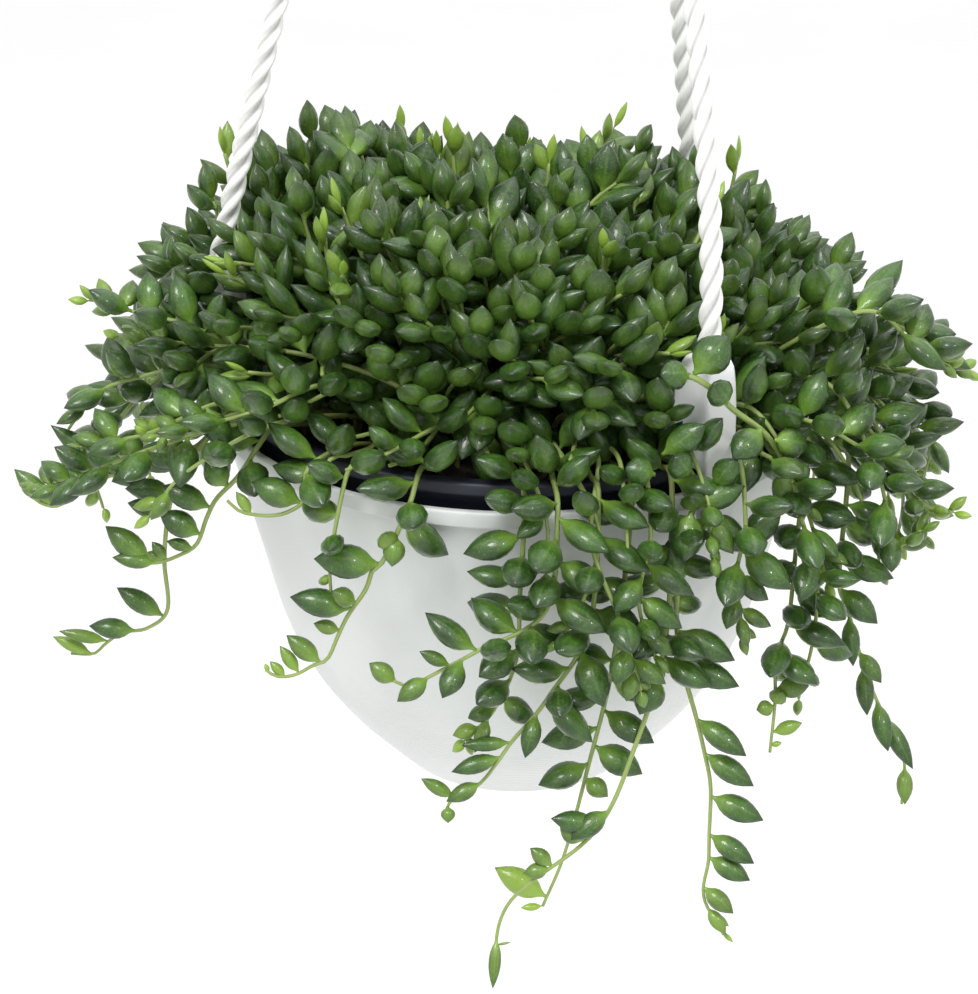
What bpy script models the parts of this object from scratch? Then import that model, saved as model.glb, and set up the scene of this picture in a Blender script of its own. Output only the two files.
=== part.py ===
"""A white hanging pot of trailing, teardrop-leaved succulent, modelled in Blender.

Metres, +Z up.  The origin is the point of the hanger's ring that a ceiling hook bears on, so
everything lies below it.  The plant's routes are written in millimetres from the centre of the
white pot's rim: +X right, +Y away from the viewer, +Z up.
"""

import math
import random

import bmesh
import bpy
import numpy as np
from mathutils import Vector

MM = 0.001
FIT = 0.3                    # gap between pieces that touch, mm

# Where the pot hangs: the heavy side of the plant pulls its axis a little off the hook.
RIM_BELOW_HOOK = 455.0       # mm
POT_AXIS_X = -15.0           # mm

# White outer pot (mm)
POT_SEGMENTS = 32
POT_RIM_RADIUS = 90.0
POT_LIP = 5.0                # height of the lip
POT_WALL = 2.5
POT_OUTSIDE = ((88.6, -5.0), (84.0, -20), (77.4, -45), (71.4, -68), (64.0, -85),
               (54.4, -99), (44.5, -110), (37.0, -118))
POT_FLOOR = -115.2

# Black nursery pot that stands inside it (mm)
LINER_TOP = 6.5
LINER_ROLL = 4.6             # height of the rolled rim
LINER_ROLL_RADIUS = 85.5
LINER_WALL = 1.2
LINER_RADIUS = 82.2
LINER_FOOT_RADIUS = 52.0
LINER_FOOT = -98.3
DRAIN_HOLES = 5
DRAIN_RADIUS = 4.0
DRAIN_RING = 0.6             # where they stand, as a share of the floor's radius

# Soil (mm)
SOIL_TOP = -2.0
SOIL_FLOOR = LINER_FOOT + LINER_WALL + FIT
STEM_HOLE_DEPTH = 12.0
STEM_HOLE_RADIUS = 1.7
STEM_RING = (63.0, 69.0)     # the stems stand in two staggered rings of holes

# Hanger: three clips, three ropes, one cap with its ring (mm)
CLIP_AZIMUTHS = {"front": -53.5, "rear": 51.8, "left": 179.4}
CLIP_WIDTH = 11.0
CLIP_INNER = 78.2
CLIP_OUTER = 93.8
CLIP_TOP = 39.0
ROPE_RADIUS = 3.25
ROPE_FOOT_RADIUS = 87.0      # from the pot's axis, at the clip's top
SOCKET_DEPTH = 9.0
ROPE_PITCH = 19.0            # distance between a rope's points
ROPE_BOWS = {"front": 4.9, "rear": 0.6, "left": 0.6}    # the leaves press the front one out
ROPE_BEND = 0.15             # where along a rope its bow is widest, as a share
CAP_UNDERSIDE = -39.0
CAP_RADIUS = 11.5
RING_RADIUS = 13.0
RING_WIRE = 2.4
ROPE_TOP_RADIUS = 6.0

# Plant (mm)
STEM_RADIUS = 1.1
LEAF_LENGTH = 15.5
LEAF_WIDTH = 8.2
LEAF_RINGS = ((0.40, 1.0), (0.68, 0.66))    # share of the length, share of the half width
BUSH_RINGS = ((0.44, 1.0),)                 # plainer leaves for the crowded mound
BUSH_LEAF_LENGTH = 19.0      # they cover it, so they are larger than life
BUSH_LEAF_WIDTH = 10.5
BUSH_SPACING = 11.0
SPRIGS = 15                  # shoots that stand above the mound
SPRIG_SEGMENTS = 2
SPRIG_ROWS = (4, 8)          # bands of the mound that they stand in
SPRIG_STEP = 9.0
END_LEAF = 0.55              # length of a stem's end leaf, as a share of a leaf
STATION = 19.0               # distance between pairs of leaves along a stem
PETIOLE = 2.4                # length of the stem's short facet that a leaf grows from
LEAFY_FROM = 91.0            # a stem is bare nearer the pot's axis than this
CREST = LINER_TOP + FIT + STEM_RADIUS + 0.9
CREST_RADII = (80.0, 88.0)   # a stem lies over the rims from one to the other
LEANS = (0.62, 0.95, 0.35, 0.0, 1.3)   # slants that a leaf tries, along its stem
SHAKE = 0.16                 # how far a leaf strays from its slant
YOUNG = 0.62                 # length of a stem's youngest leaves, as a share of a leaf
YOUNG_STATIONS = 3           # how many pairs back from the tip they are full grown
SPRIG_RISE = Vector((0, 0, 0.5))
BUSH_TRIES = 5
BUSH_SEAT = 2.0              # half width of the seat that a leaf of the mound grows from
SEED = 7

# What leaves keep clear of, and by how much (mm)
BELLY = (0.34, 0.80)         # the stretch of a leaf that its blocking rod stands for
BELLY_FILL = 0.90            # that rod's radius, as a share of the leaf's half width
BUSH_FILL = 0.85
CLEAR_OTHERS = 0.6
CLEAR_OWN = 0.5              # between leaves of one stem
CLEAR_LINE = 1.3             # from the line of a leaf's root and tip to what isn't its own
CLEAR_POT = 0.6
CLEAR_CORE = 0.4
CLIP_BLOCK = 6.8             # radius of the rods that stand for a clip
CLIP_BLOCK_RADII = (83.5, 88.5)

# The mound's core, foot to crown: radius, height (mm)
CORE_ROWS = ((50, -1.7), (57, 6), (78, 15), (90, 20), (93, 26), (87, 33), (76, 39),
             (62, 44), (46, 48), (28, 51), (12, 53))
CORE_SEGMENTS = 36
CORE_TOP = 54.0
CORE_FIRST_LEAVES = 2        # the lowest band of it that grows leaves
LUMPY = 0.05                 # how far its height varies round it, as a share
NOTCH_RADIUS = 70.0          # it draws in to this beside each clip
NOTCH_EDGE = 18.0            # degrees from a clip where that starts
NOTCH_FADE = 9.0             # degrees that it takes
NO_LIMIT = 200.0

# Stems that the picture shows: name, then the points outside the rim, nearest first.
TRAILS = {
    "left_1": ((-88, -53, 9), (-96, -58, 8), (-102, -64, 12)),
    "left_2": ((-94, -41, 3), (-117, -34, -15), (-135, -24, -29), (-142, -25, -28)),
    "left_3": ((-80, -61, 0), (-90, -62, -16), (-104, -59, -33), (-119, -54, -31)),
    "left_4": ((-93, -46, 0), (-99, -42, -24), (-101, -41, -50), (-116, -29, -74),
               (-134, -23, -79)),
    "front_1": ((-57, -79, 8), (-66, -78, -5), (-78, -80, -6)),
    "front_2": ((-29, -92, 3), (-42, -92, -24), (-53, -91, -44), (-69, -92, -49)),
    "front_3": ((2, -97, 0), (1, -99, -20), (0, -99, -40), (-6, -98, -56), (-14, -97, -66)),
    "front_4": ((11, -98, 4), (8, -104, -22), (-6, -110, -32), (-30, -108, -46)),
    "front_5": ((22, -94, 6), (20, -98, -30), (4, -102, -58), (-9, -104, -75), (-21, -102, -88)),
    "front_6": ((42, -85, 6), (41, -93, -36), (33, -100, -66), (22, -106, -90), (-2, -109, -112),
                (-6, -110, -138)),
    "front_7": ((31, -90, 4), (27, -93, -42), (20, -92, -79), (14, -92, -106), (8, -94, -122)),
    "front_8": ((49, -82, 3), (44, -90, -12), (47, -92, -46), (54, -90, -82), (54, -92, -113),
                (61, -93, -134)),
    "right_1": ((80, -56, 3), (78, -68, -22), (72, -79, -56), (69, -82, -80)),
    "right_2": ((92, -53, 8), (94, -64, -26), (99, -55, -62), (109, -45, -90), (116, -43, -116)),
    "right_3": ((99, -38, 8), (112, -52, -12), (122, -62, -12)),
    "right_4": ((70, -62, 7), (79, -72, -4), (86, -77, -26)),
}

# The rest, which the picture half hides or doesn't show: azimuth, reach, drop, sideways drift.
HIDDEN = (
    (-12, 26, 40, -2), (-2, 34, 30, 2), (9, 28, 52, 2), (21, 32, 30, 2), (34, 24, 60, -2),
    (61, 24, 40, 2), (76, 26, 74, 2), (91, 24, 38, 2), (105, 28, 88, 2), (119, 24, 46, 2),
    (133, 30, 68, 2), (148, 28, 36, -2), (163, 34, 50, -2), (191, 36, 28, 2), (242, 15, 24, -1),
)

materials = {}
roots = []                   # where each stem stands in the soil
blocked = []                 # round-ended rods that later leaves keep clear of
draw = random.Random(SEED)


def material(name, colour, roughness):
    """One Principled BSDF, in linear colour."""
    if name not in materials:
        made = bpy.data.materials.new(name)
        made.use_nodes = True
        shader = made.node_tree.nodes["Principled BSDF"]
        shader.inputs["Base Color"].default_value = (*colour, 1.0)
        shader.inputs["Roughness"].default_value = roughness
        shader.inputs["Metallic"].default_value = 0.0
        materials[name] = made
    return materials[name]


def polar(radius, azimuth, height):
    """A point round the pot's axis, in mm, from its distance, its azimuth in degrees and height."""
    turn = math.radians(azimuth)
    return Vector((radius * math.cos(turn), radius * math.sin(turn), height))


def add_object(name, bm, finish, parent=None):
    """Turns a mesh built in millimetres into an object in metres."""
    bmesh.ops.scale(bm, vec=(MM, MM, MM), verts=bm.verts)
    bmesh.ops.recalc_face_normals(bm, faces=bm.faces)
    mesh = bpy.data.meshes.new(name)
    bm.to_mesh(mesh)
    bm.free()
    mesh.shade_smooth()
    mesh.set_sharp_from_angle(angle=math.radians(35))
    mesh.materials.append(finish)
    item = bpy.data.objects.new(name, mesh)
    bpy.context.scene.collection.objects.link(item)
    item.parent = parent
    return item


def turned(profile, segments):
    """A closed solid turned round Z from (radius, height) points; a radius of 0 is a pole."""
    bm = bmesh.new()
    rows = []
    for radius, height in profile:
        if radius == 0:
            rows.append([bm.verts.new((0, 0, height))])
            continue
        turns = (360 * k / segments for k in range(segments))
        rows.append([bm.verts.new(polar(radius, turn, height)) for turn in turns])
    for low, high in zip(rows, rows[1:]):
        for k in range(segments):
            after = (k + 1) % segments
            corners = [low[k % len(low)], low[after % len(low)],
                       high[after % len(high)], high[k % len(high)]]
            bm.faces.new(list(dict.fromkeys(corners)))
    return bm


def cut(target, cutters):
    """Takes the cutters out of the target with one Boolean, and removes them."""
    group = bpy.data.collections.new(target.name + "_cutters")
    bpy.context.scene.collection.children.link(group)
    for cutter in cutters:
        cutter.hide_render = True
        cutter.display_type = "WIRE"
        for home in cutter.users_collection:
            home.objects.unlink(cutter)
        group.objects.link(cutter)
    apply_boolean(target, group, "DIFFERENCE")


def apply_boolean(target, group, operation):
    """Runs a Boolean with a whole collection, keeps its result and removes the collection."""
    change = target.modifiers.new("boolean", "BOOLEAN")
    change.operation = operation
    change.operand_type = "COLLECTION"
    change.collection = group
    change.solver = "EXACT"
    bpy.context.view_layer.update()
    shape = target.evaluated_get(bpy.context.evaluated_depsgraph_get())
    result = bpy.data.meshes.new_from_object(shape)
    target.modifiers.clear()
    target.data = result
    for item in list(group.objects):
        bpy.data.objects.remove(item)
    bpy.data.collections.remove(group)


def rod(name, start, end, radius, sides, parent=None):
    """A plain round rod between two points, in mm: a cutter for holes and sockets."""
    bm = bmesh.new()
    along = (end - start).normalized()
    bmesh.ops.create_cone(bm, cap_ends=True, segments=sides, radius1=radius, radius2=radius,
                          depth=(end - start).length)
    bmesh.ops.rotate(bm, matrix=along.to_track_quat("Z", "Y").to_matrix(), verts=bm.verts)
    bmesh.ops.translate(bm, vec=(start + end) / 2, verts=bm.verts)
    return add_object(name, bm, material("cutter", (1, 0, 0), 1.0), parent)


# Pot, nursery pot and soil

def build_pot(rim):
    """The white bowl, with a thin lip that the clips catch under."""
    inside = [(radius - POT_WALL, height) for radius, height in POT_OUTSIDE[2:-1]]
    profile = ([(0, POT_OUTSIDE[-1][1]), *reversed(POT_OUTSIDE)]
               + [(POT_RIM_RADIUS, -POT_LIP), (POT_RIM_RADIUS, 0)]
               + [(POT_RIM_RADIUS - POT_WALL, 0)]
               + inside
               + [(inside[-1][0] - 5, POT_FLOOR), (0, POT_FLOOR)])
    white = material("white_plastic", (0.80, 0.81, 0.80), 0.38)
    add_object("pot", turned(profile, POT_SEGMENTS), white, rim)


def liner_inside(height):
    """The nursery pot's inner radius at a height."""
    share = (height - LINER_FOOT) / -LINER_FOOT
    outside = LINER_FOOT_RADIUS + (LINER_RADIUS - LINER_FOOT_RADIUS) * share
    return outside - LINER_WALL


def build_liner(rim):
    """The black nursery pot: tapered wall, rolled rim, drain holes in its floor."""
    roll_foot = LINER_TOP - LINER_ROLL
    profile = ((0, LINER_FOOT), (LINER_FOOT_RADIUS, LINER_FOOT), (LINER_RADIUS, 0.0),
               (LINER_RADIUS, roll_foot), (LINER_ROLL_RADIUS, roll_foot + 0.6),
               (LINER_ROLL_RADIUS, LINER_TOP - 1.2), (LINER_ROLL_RADIUS - 1.2, LINER_TOP),
               (LINER_RADIUS - LINER_WALL, LINER_TOP), (liner_inside(0), 0.0),
               (liner_inside(LINER_FOOT + LINER_WALL), LINER_FOOT + LINER_WALL),
               (0, LINER_FOOT + LINER_WALL))
    black = material("black_plastic", (0.012, 0.014, 0.022), 0.45)
    liner = add_object("nursery_pot", turned(profile, POT_SEGMENTS), black, rim)
    holes = []
    for k in range(DRAIN_HOLES):
        foot = polar(LINER_FOOT_RADIUS * DRAIN_RING, 360 * k / DRAIN_HOLES, LINER_FOOT - 3)
        holes.append(rod(f"drain_{k}", foot, foot + Vector((0, 0, 8)), DRAIN_RADIUS, 8, rim))
    cut(liner, holes)


def build_soil(rim, roots):
    """The root ball, with a plain hole for each stem."""
    profile = ((0, SOIL_FLOOR), (liner_inside(SOIL_FLOOR) - 2 * FIT, SOIL_FLOOR),
               (liner_inside(SOIL_TOP) - 2 * FIT, SOIL_TOP), (0, SOIL_TOP))
    earth = material("soil", (0.030, 0.018, 0.010), 0.95)
    soil = add_object("soil", turned(profile, POT_SEGMENTS), earth, rim)
    holes = []
    for k, root in enumerate(roots):
        foot = Vector((root.x, root.y, SOIL_TOP - STEM_HOLE_DEPTH))
        mouth = Vector((root.x, root.y, SOIL_TOP + 3))
        holes.append(rod(f"hole_{k}", foot, mouth, STEM_HOLE_RADIUS, 6, rim))
    cut(soil, holes)


# Hanger

def rope_line(place):
    """A rope's points in the frame of the rim, from its socket's mouth up to the cap."""
    azimuth = CLIP_AZIMUTHS[place]
    mouth = polar(ROPE_FOOT_RADIUS, azimuth, CLIP_TOP)
    cap = Vector((-POT_AXIS_X, 0, CAP_UNDERSIDE + RIM_BELOW_HOOK))
    top = cap + polar(ROPE_TOP_RADIUS, azimuth, -FIT - 0.8)
    count = round((top - mouth).length / ROPE_PITCH)
    line = []
    for k in range(count + 1):
        bend = k / count / ROPE_BEND
        bow = ROPE_BOWS[place] * bend * math.exp(1 - bend)
        line.append(mouth.lerp(top, k / count) + polar(bow, azimuth, 0))
    return line


def socket_direction(line):
    """The direction in which a rope comes out of its socket."""
    return (line[1] - line[0]).normalized()


def build_clip(rim, place):
    """A clip over both rims: two legs, a barb under the white lip and a socket for the rope."""
    outer_leg = POT_RIM_RADIUS + 1.0
    inner_leg = LINER_RADIUS - LINER_WALL - 1.0
    slot_top = LINER_TOP + FIT
    outline = ((CLIP_OUTER, -13), (CLIP_OUTER, 29), (CLIP_OUTER - 0.6, 35), (92.0, CLIP_TOP),
               (82.0, CLIP_TOP), (CLIP_INNER + 1.5, 33), (CLIP_INNER, 26), (CLIP_INNER, 1.0),
               (inner_leg, 1.0), (inner_leg, slot_top), (outer_leg, slot_top),
               (outer_leg, -POT_LIP - FIT), (POT_RIM_RADIUS - 1.1, -POT_LIP - FIT),
               (outer_leg, -POT_LIP - 3.5), (outer_leg, -13))
    azimuth = math.radians(CLIP_AZIMUTHS[place])
    out = Vector((math.cos(azimuth), math.sin(azimuth), 0))
    side = Vector((-out.y, out.x, 0))
    bm = bmesh.new()
    start = [bm.verts.new(out * r + Vector((0, 0, z)) - side * CLIP_WIDTH / 2) for r, z in outline]
    face = bm.faces.new(start)
    moved = bmesh.ops.extrude_face_region(bm, geom=[face])["geom"]
    bmesh.ops.translate(bm, vec=side * CLIP_WIDTH,
                        verts=[v for v in moved if isinstance(v, bmesh.types.BMVert)])
    white = material("clip_plastic", (0.82, 0.83, 0.83), 0.35)
    clip = add_object("clip_" + place, bm, white, rim)
    line = rope_line(place)
    along = socket_direction(line)
    socket = rod("socket", line[0] - along * SOCKET_DEPTH, line[0] + along * 6,
                 ROPE_RADIUS + FIT, 12, rim)
    cut(clip, [socket])


def build_rope(rim, place):
    """A taut rope with a slight outward bow, as a bevelled curve with filled ends."""
    line = rope_line(place)
    points = [line[0] - socket_direction(line) * (SOCKET_DEPTH - FIT), *line]
    data = bpy.data.curves.new("rope_" + place, "CURVE")
    data.dimensions = "3D"
    data.bevel_depth = ROPE_RADIUS * MM
    data.bevel_resolution = 2
    data.use_fill_caps = True
    spline = data.splines.new("POLY")
    spline.points.add(len(points) - 1)
    for point, place_at in zip(spline.points, points):
        point.co = (*(place_at * MM), 1.0)
    data.materials.append(material("white_rope", (0.83, 0.83, 0.81), 0.7))
    rope = bpy.data.objects.new("rope_" + place, data)
    bpy.context.scene.collection.objects.link(rope)
    rope.parent = rim


def build_hanger():
    """The moulded cap that the three ropes meet in, with the ring that hangs on a hook."""
    ring_centre = -(RING_RADIUS - RING_WIRE)
    cap_top = ring_centre - RING_RADIUS + 1.5
    profile = ((0, CAP_UNDERSIDE), (CAP_RADIUS - 0.8, CAP_UNDERSIDE), (CAP_RADIUS, CAP_UNDERSIDE + 1),
               (CAP_RADIUS, CAP_UNDERSIDE + 5), (6.5, cap_top - 1), (5.0, cap_top), (0, cap_top))
    white = material("clip_plastic", (0.82, 0.83, 0.83), 0.35)
    hanger = add_object("hanger", turned(profile, 16), white)
    bm = turned_ring(RING_RADIUS, RING_WIRE, 16, 6)
    bmesh.ops.rotate(bm, matrix=Vector((0, 1, 0)).to_track_quat("Z", "Y").to_matrix(),
                     verts=bm.verts)
    bmesh.ops.translate(bm, vec=(0, 0, ring_centre), verts=bm.verts)
    ring = add_object("ring", bm, white)
    group = bpy.data.collections.new("hanger_parts")
    bpy.context.scene.collection.children.link(group)
    bpy.context.scene.collection.objects.unlink(ring)
    group.objects.link(ring)
    apply_boolean(hanger, group, "UNION")


def turned_ring(radius, wire, segments, sides):
    """A plain ring lying flat."""
    bm = bmesh.new()
    rows = []
    for k in range(segments):
        row = []
        for j in range(sides):
            angle = 2 * math.pi * (j + 0.5) / sides
            row.append(bm.verts.new(polar(radius + wire * math.cos(angle), 360 * k / segments,
                                          wire * math.sin(angle))))
        rows.append(row)
    for k in range(segments):
        here, there = rows[k], rows[(k + 1) % segments]
        for j in range(sides):
            bm.faces.new((here[j], there[j], there[(j + 1) % sides], here[(j + 1) % sides]))
    return bm


# Keeping clear

def block(start, end, radius, owner):
    """Records a round-ended rod that later leaves keep clear of."""
    blocked.append((*start, *end, radius, hash_name(owner)))


def hash_name(owner):
    """A number for an owner's name, the same on every run."""
    return float(sum(ord(letter) * (k + 1) for k, letter in enumerate(owner)))


def rods_apart(start, end, others):
    """Distance from one segment to each of the others, sampled along the first."""
    samples = np.array([tuple(start.lerp(end, t)) for t in (0.0, 0.2, 0.4, 0.6, 0.8, 1.0)])
    first, last = others[:, 0:3], others[:, 3:6]
    along = last - first
    length = np.maximum((along ** 2).sum(1), 1e-9)
    share = np.einsum("snk,nk->sn", samples[:, None] - first[None], along) / length
    nearest = first[None] + np.clip(share, 0, 1)[..., None] * along[None]
    return np.linalg.norm(samples[:, None] - nearest, axis=2).min(0)


def pot_outside(height):
    """Radius that anything beside the pot keeps outside of, at a height."""
    for (r0, z0), (r1, z1) in zip(POT_OUTSIDE, POT_OUTSIDE[1:]):
        if z1 <= height < z0:
            return r0 + (r1 - r0) * (z0 - height) / (z0 - z1)
    return POT_RIM_RADIUS


def clear_of_pots(point, reach):
    """Whether a ball lies above the rims, or outside the white pot."""
    if point.z - reach > LINER_TOP + FIT:
        return True
    out = math.hypot(point.x, point.y)
    return out - reach > pot_outside(point.z) + CLEAR_POT


def core_radius(height, azimuth):
    """The mound core's radius at a height, drawn in round the clips."""
    for (r0, z0), (r1, z1) in zip(CORE_ROWS, CORE_ROWS[1:]):
        if z0 <= height < z1:
            plain = (r0 + (r1 - r0) * (height - z0) / (z1 - z0)) * 1.03
            return min(plain, notch_limit(azimuth))
    return 0.0


def clear_of_core(point, reach):
    """Whether a ball lies outside the mound's core."""
    azimuth = math.degrees(math.atan2(point.y, point.x))
    out = math.hypot(point.x, point.y) - reach
    return all(out > core_radius(point.z + step * reach, azimuth) + CLEAR_CORE
               for step in (-1, 0, 1))


def free(start, end, radius, owner):
    """Whether a leaf's rod is clear of the pots and of every other rod."""
    if owner != "mound" and not (clear_of_core(end, 0.5) and clear_of_core(start, radius)):
        return False
    if not (clear_of_pots(end, 0.3) and clear_of_pots(start.lerp(end, 0.5), radius)):
        return False
    others = np.array(blocked)
    apart = rods_apart(start, end, others) - others[:, 6] - radius
    mine = others[:, 7] == hash_name(owner)
    return bool((apart[~mine] > CLEAR_OTHERS).all() and (apart[mine] > CLEAR_OWN).all())


# Growing stems and leaves from faces

def grow_leaf(bm, face, heading, length, width, rings=LEAF_RINGS):
    """Draws a pointed, swollen leaf out of a face: its rings, then its tip."""
    centre = face.calc_center_median()
    spokes = [(v.co - centre).normalized() for v in face.verts]
    for share, fullness in rings:
        grown = bmesh.ops.extrude_discrete_faces(bm, faces=[face])["faces"][0]
        middle = centre + heading * length * share
        for vertex, spoke in zip(grown.verts, spokes):
            flat = (spoke - heading * spoke.dot(heading)).normalized()
            vertex.co = middle + flat * width / 2 * fullness
        face = grown
    tip = bmesh.ops.poke(bm, faces=[face])["verts"][0]
    tip.co = centre + heading * length


def shrink_face(bm, face, half):
    """Insets a small seat for a leaf or a stem in the middle of a face, and returns it."""
    centre = face.calc_center_median()
    spokes = [(v.co - centre).normalized() for v in face.verts]
    seat = bmesh.ops.extrude_discrete_faces(bm, faces=[face])["faces"][0]
    for vertex, spoke in zip(seat.verts, spokes):
        vertex.co = centre + spoke * half
    return seat


def leaf_rod(base, heading, length):
    """The middle of a leaf as a rod, to keep others clear of it."""
    return base + heading * length * BELLY[0], base + heading * length * BELLY[1]


def leaf_free(base, heading, length, radius, owner):
    """Whether a leaf has room: its belly, and the thin line from its root to its tip."""
    start, end = leaf_rod(base, heading, length)
    line = (base.lerp(base + heading * length, share) for share in (0.2, 0.4, 0.6, 0.8, 1.0))
    if not (free(start, end, radius, owner) and all(clear_of_pots(p, 1.0) for p in line)):
        return False
    others = np.array(blocked)
    apart = rods_apart(base + heading * 1.5, base + heading * length, others) - others[:, 6]
    mine = others[:, 7] == hash_name(owner)
    return bool((apart[~mine] > CLEAR_LINE).all())


def try_leaf(bm, face, heading, length, owner):
    """Grows a leaf if its place is free, and blocks its place."""
    base = face.calc_center_median()
    radius = LEAF_WIDTH * length / LEAF_LENGTH / 2
    if not leaf_free(base, heading, length, radius * BELLY_FILL, owner):
        return False
    start, end = leaf_rod(base, heading, length)
    grow_leaf(bm, face, heading, length, 2 * radius)
    block(start, end, radius * BELLY_FILL, owner)
    return True


def smooth_route(points, step):
    """Points about a step apart on a smooth curve through a route's own points."""
    points = [Vector(p) for p in points]
    ends = [points[0] * 2 - points[1], *points, points[-1] * 2 - points[-2]]
    fine = []
    for a, b, c, d in zip(ends, ends[1:], ends[2:], ends[3:]):
        for k in range(12):
            t = k / 12
            fine.append(0.5 * ((2 * b) + (c - a) * t + (2 * a - 5 * b + 4 * c - d) * t ** 2
                               + (3 * b - a - 3 * c + d) * t ** 3))
    fine.append(points[-1])
    lengths = [0.0]
    for a, b in zip(fine, fine[1:]):
        lengths.append(lengths[-1] + (b - a).length)
    count = max(2, round(lengths[-1] / step))
    even = []
    k = 0
    for j in range(count + 1):
        goal = lengths[-1] * j / count
        while k < len(fine) - 2 and lengths[k + 1] < goal:
            k += 1
        share = (goal - lengths[k]) / max(lengths[k + 1] - lengths[k], 1e-9)
        even.append(fine[k].lerp(fine[k + 1], min(share, 1.0)))
    return even


def upward(point, along):
    """The side of a stem that faces up, or away from the pot where the stem hangs."""
    out = Vector((point.x, point.y, 0)).normalized()
    lift = Vector((0, 0, along.dot(out) + 0.3)) - out * along.z
    return (lift - along * lift.dot(along)).normalized()


def route_of(name, outside):
    """A stem's whole route: up out of its hole, over the rim, then its points outside."""
    first = Vector(outside[0])
    azimuth = math.degrees(math.atan2(first.y, first.x))
    ring = STEM_RING[len(roots) % 2]
    hole = polar(ring, azimuth, SOIL_TOP - STEM_HOLE_DEPTH + FIT)
    roots.append(hole)
    inner, outer = CREST_RADII
    return [hole, polar(ring, azimuth, SOIL_TOP + 1.6), polar(ring + 6, azimuth, CREST - 3.6),
            polar(inner, azimuth, CREST), polar(outer, azimuth, CREST + 0.6),
            *(Vector(p) for p in outside)]


def hidden_route(azimuth, reach, drop, drift):
    """Outside points of a stem that goes over the rim and hangs, from four plain numbers."""
    return (polar(POT_RIM_RADIUS + 0.42 * reach, azimuth + 0.2 * drift, CREST + 1.5),
            polar(POT_RIM_RADIUS + 0.85 * reach, azimuth + 0.5 * drift, -0.18 * drop),
            polar(POT_RIM_RADIUS + reach, azimuth + 0.8 * drift, -0.60 * drop),
            polar(POT_RIM_RADIUS + 0.95 * reach, azimuth + drift, -drop))


def stem_rings(bm, points, radius):
    """A four-sided tube through the points; returns its rings and the frame at each."""
    rings = []
    for k, point in enumerate(points):
        before = points[max(k - 1, 0)]
        after = points[min(k + 1, len(points) - 1)]
        along = (after - before).normalized()
        top = upward(point, along)
        side = along.cross(top)
        corners = (top + side, side - top, -top - side, top - side)
        rings.append(([bm.verts.new(point + corner * radius / math.sqrt(2)) for corner in corners],
                      along, top))
    return rings


def build_stem(name, route):
    """A leafy stem: a slim tube whose short facets each grow a leaf, in pairs, to its tip."""
    stations = [*route[:4], *smooth_route(route[4:], STATION)]
    leafy = [math.hypot(p.x, p.y) > LEAFY_FROM for p in stations]
    points = []
    short = []
    for k, point in enumerate(stations):
        if 0 < k < len(stations) - 1 and leafy[k]:
            along = (stations[k + 1] - stations[k - 1]).normalized()
            points += [point - along * PETIOLE / 2, point + along * PETIOLE / 2]
            short += [True, False]
        else:
            points.append(point)
            short.append(False)
    bm = bmesh.new()
    rings = stem_rings(bm, points, STEM_RADIUS)
    bm.faces.new(list(reversed(rings[0][0])))
    facets = []
    for (low, along, top), (high, _, _), leaf_here in zip(rings, rings[1:], short):
        for j in range(4):
            face = bm.faces.new((low[j], low[(j + 1) % 4], high[(j + 1) % 4], high[j]))
            if leaf_here:
                facets.append((face, j, along, top))
    cap = bm.faces.new(rings[-1][0])
    bmesh.ops.recalc_face_normals(bm, faces=bm.faces)
    for a, b in zip(points, points[1:]):
        block(a, b, STEM_RADIUS, name)
    block(points[-1], points[-1] + rings[-1][1] * LEAF_LENGTH * END_LEAF, LEAF_WIDTH * 0.25, name)
    return bm, facets, cap, rings[-1][1]


def leaf_stem(name, bm, facets, cap, last_along):
    """Grows the leaves of one stem, smaller towards its tip, and its end leaf."""
    stations = len(facets) // 4
    grow_leaf(bm, cap, last_along, LEAF_LENGTH * END_LEAF, LEAF_WIDTH * 0.5)
    for k, (face, j, along, top) in enumerate(facets):
        station = k // 4
        if j == 1 or (j == 3 and station % 2):
            continue
        left = stations - station
        age = min(left, YOUNG_STATIONS) / YOUNG_STATIONS
        length = LEAF_LENGTH * (YOUNG + (1 - YOUNG) * age) * draw.uniform(0.9, 1.08)
        face.normal_update()
        normal = face.normal.copy()
        for lean in LEANS:
            shake = Vector((draw.uniform(-1, 1), draw.uniform(-1, 1), draw.uniform(-1, 1))) * SHAKE
            heading = (normal + along * lean + shake).normalized()
            if try_leaf(bm, face, heading, length, name):
                break


# Mound

def notch(azimuth):
    """How far the mound draws in beside each clip, 0 to 1."""
    depth = 0.0
    for place in CLIP_AZIMUTHS.values():
        off = abs((azimuth - place + 180) % 360 - 180)
        depth = max(depth, min(1.0, max(0.0, (NOTCH_EDGE - off) / NOTCH_FADE)))
    return depth


def notch_limit(azimuth):
    """The largest radius that the core may have at an azimuth."""
    return NOTCH_RADIUS * notch(azimuth) + NO_LIMIT * (1 - notch(azimuth))


def core_point(radius, height, azimuth):
    """A point of the mound's core: lumpy, and drawn in round the clips and ropes."""
    turn = math.radians(azimuth)
    lump = 0.5 * math.sin(3 * turn + 0.6) + 0.35 * math.sin(5 * turn + 2.1)
    lift = 1.0 + (LUMPY * lump if height > 10 else 0.0)
    wide = radius * (1 + 0.025 * math.sin(4 * turn + 1.0)) if radius > 60 else radius
    return polar(min(wide, notch_limit(azimuth)), azimuth, height * lift)


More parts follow.
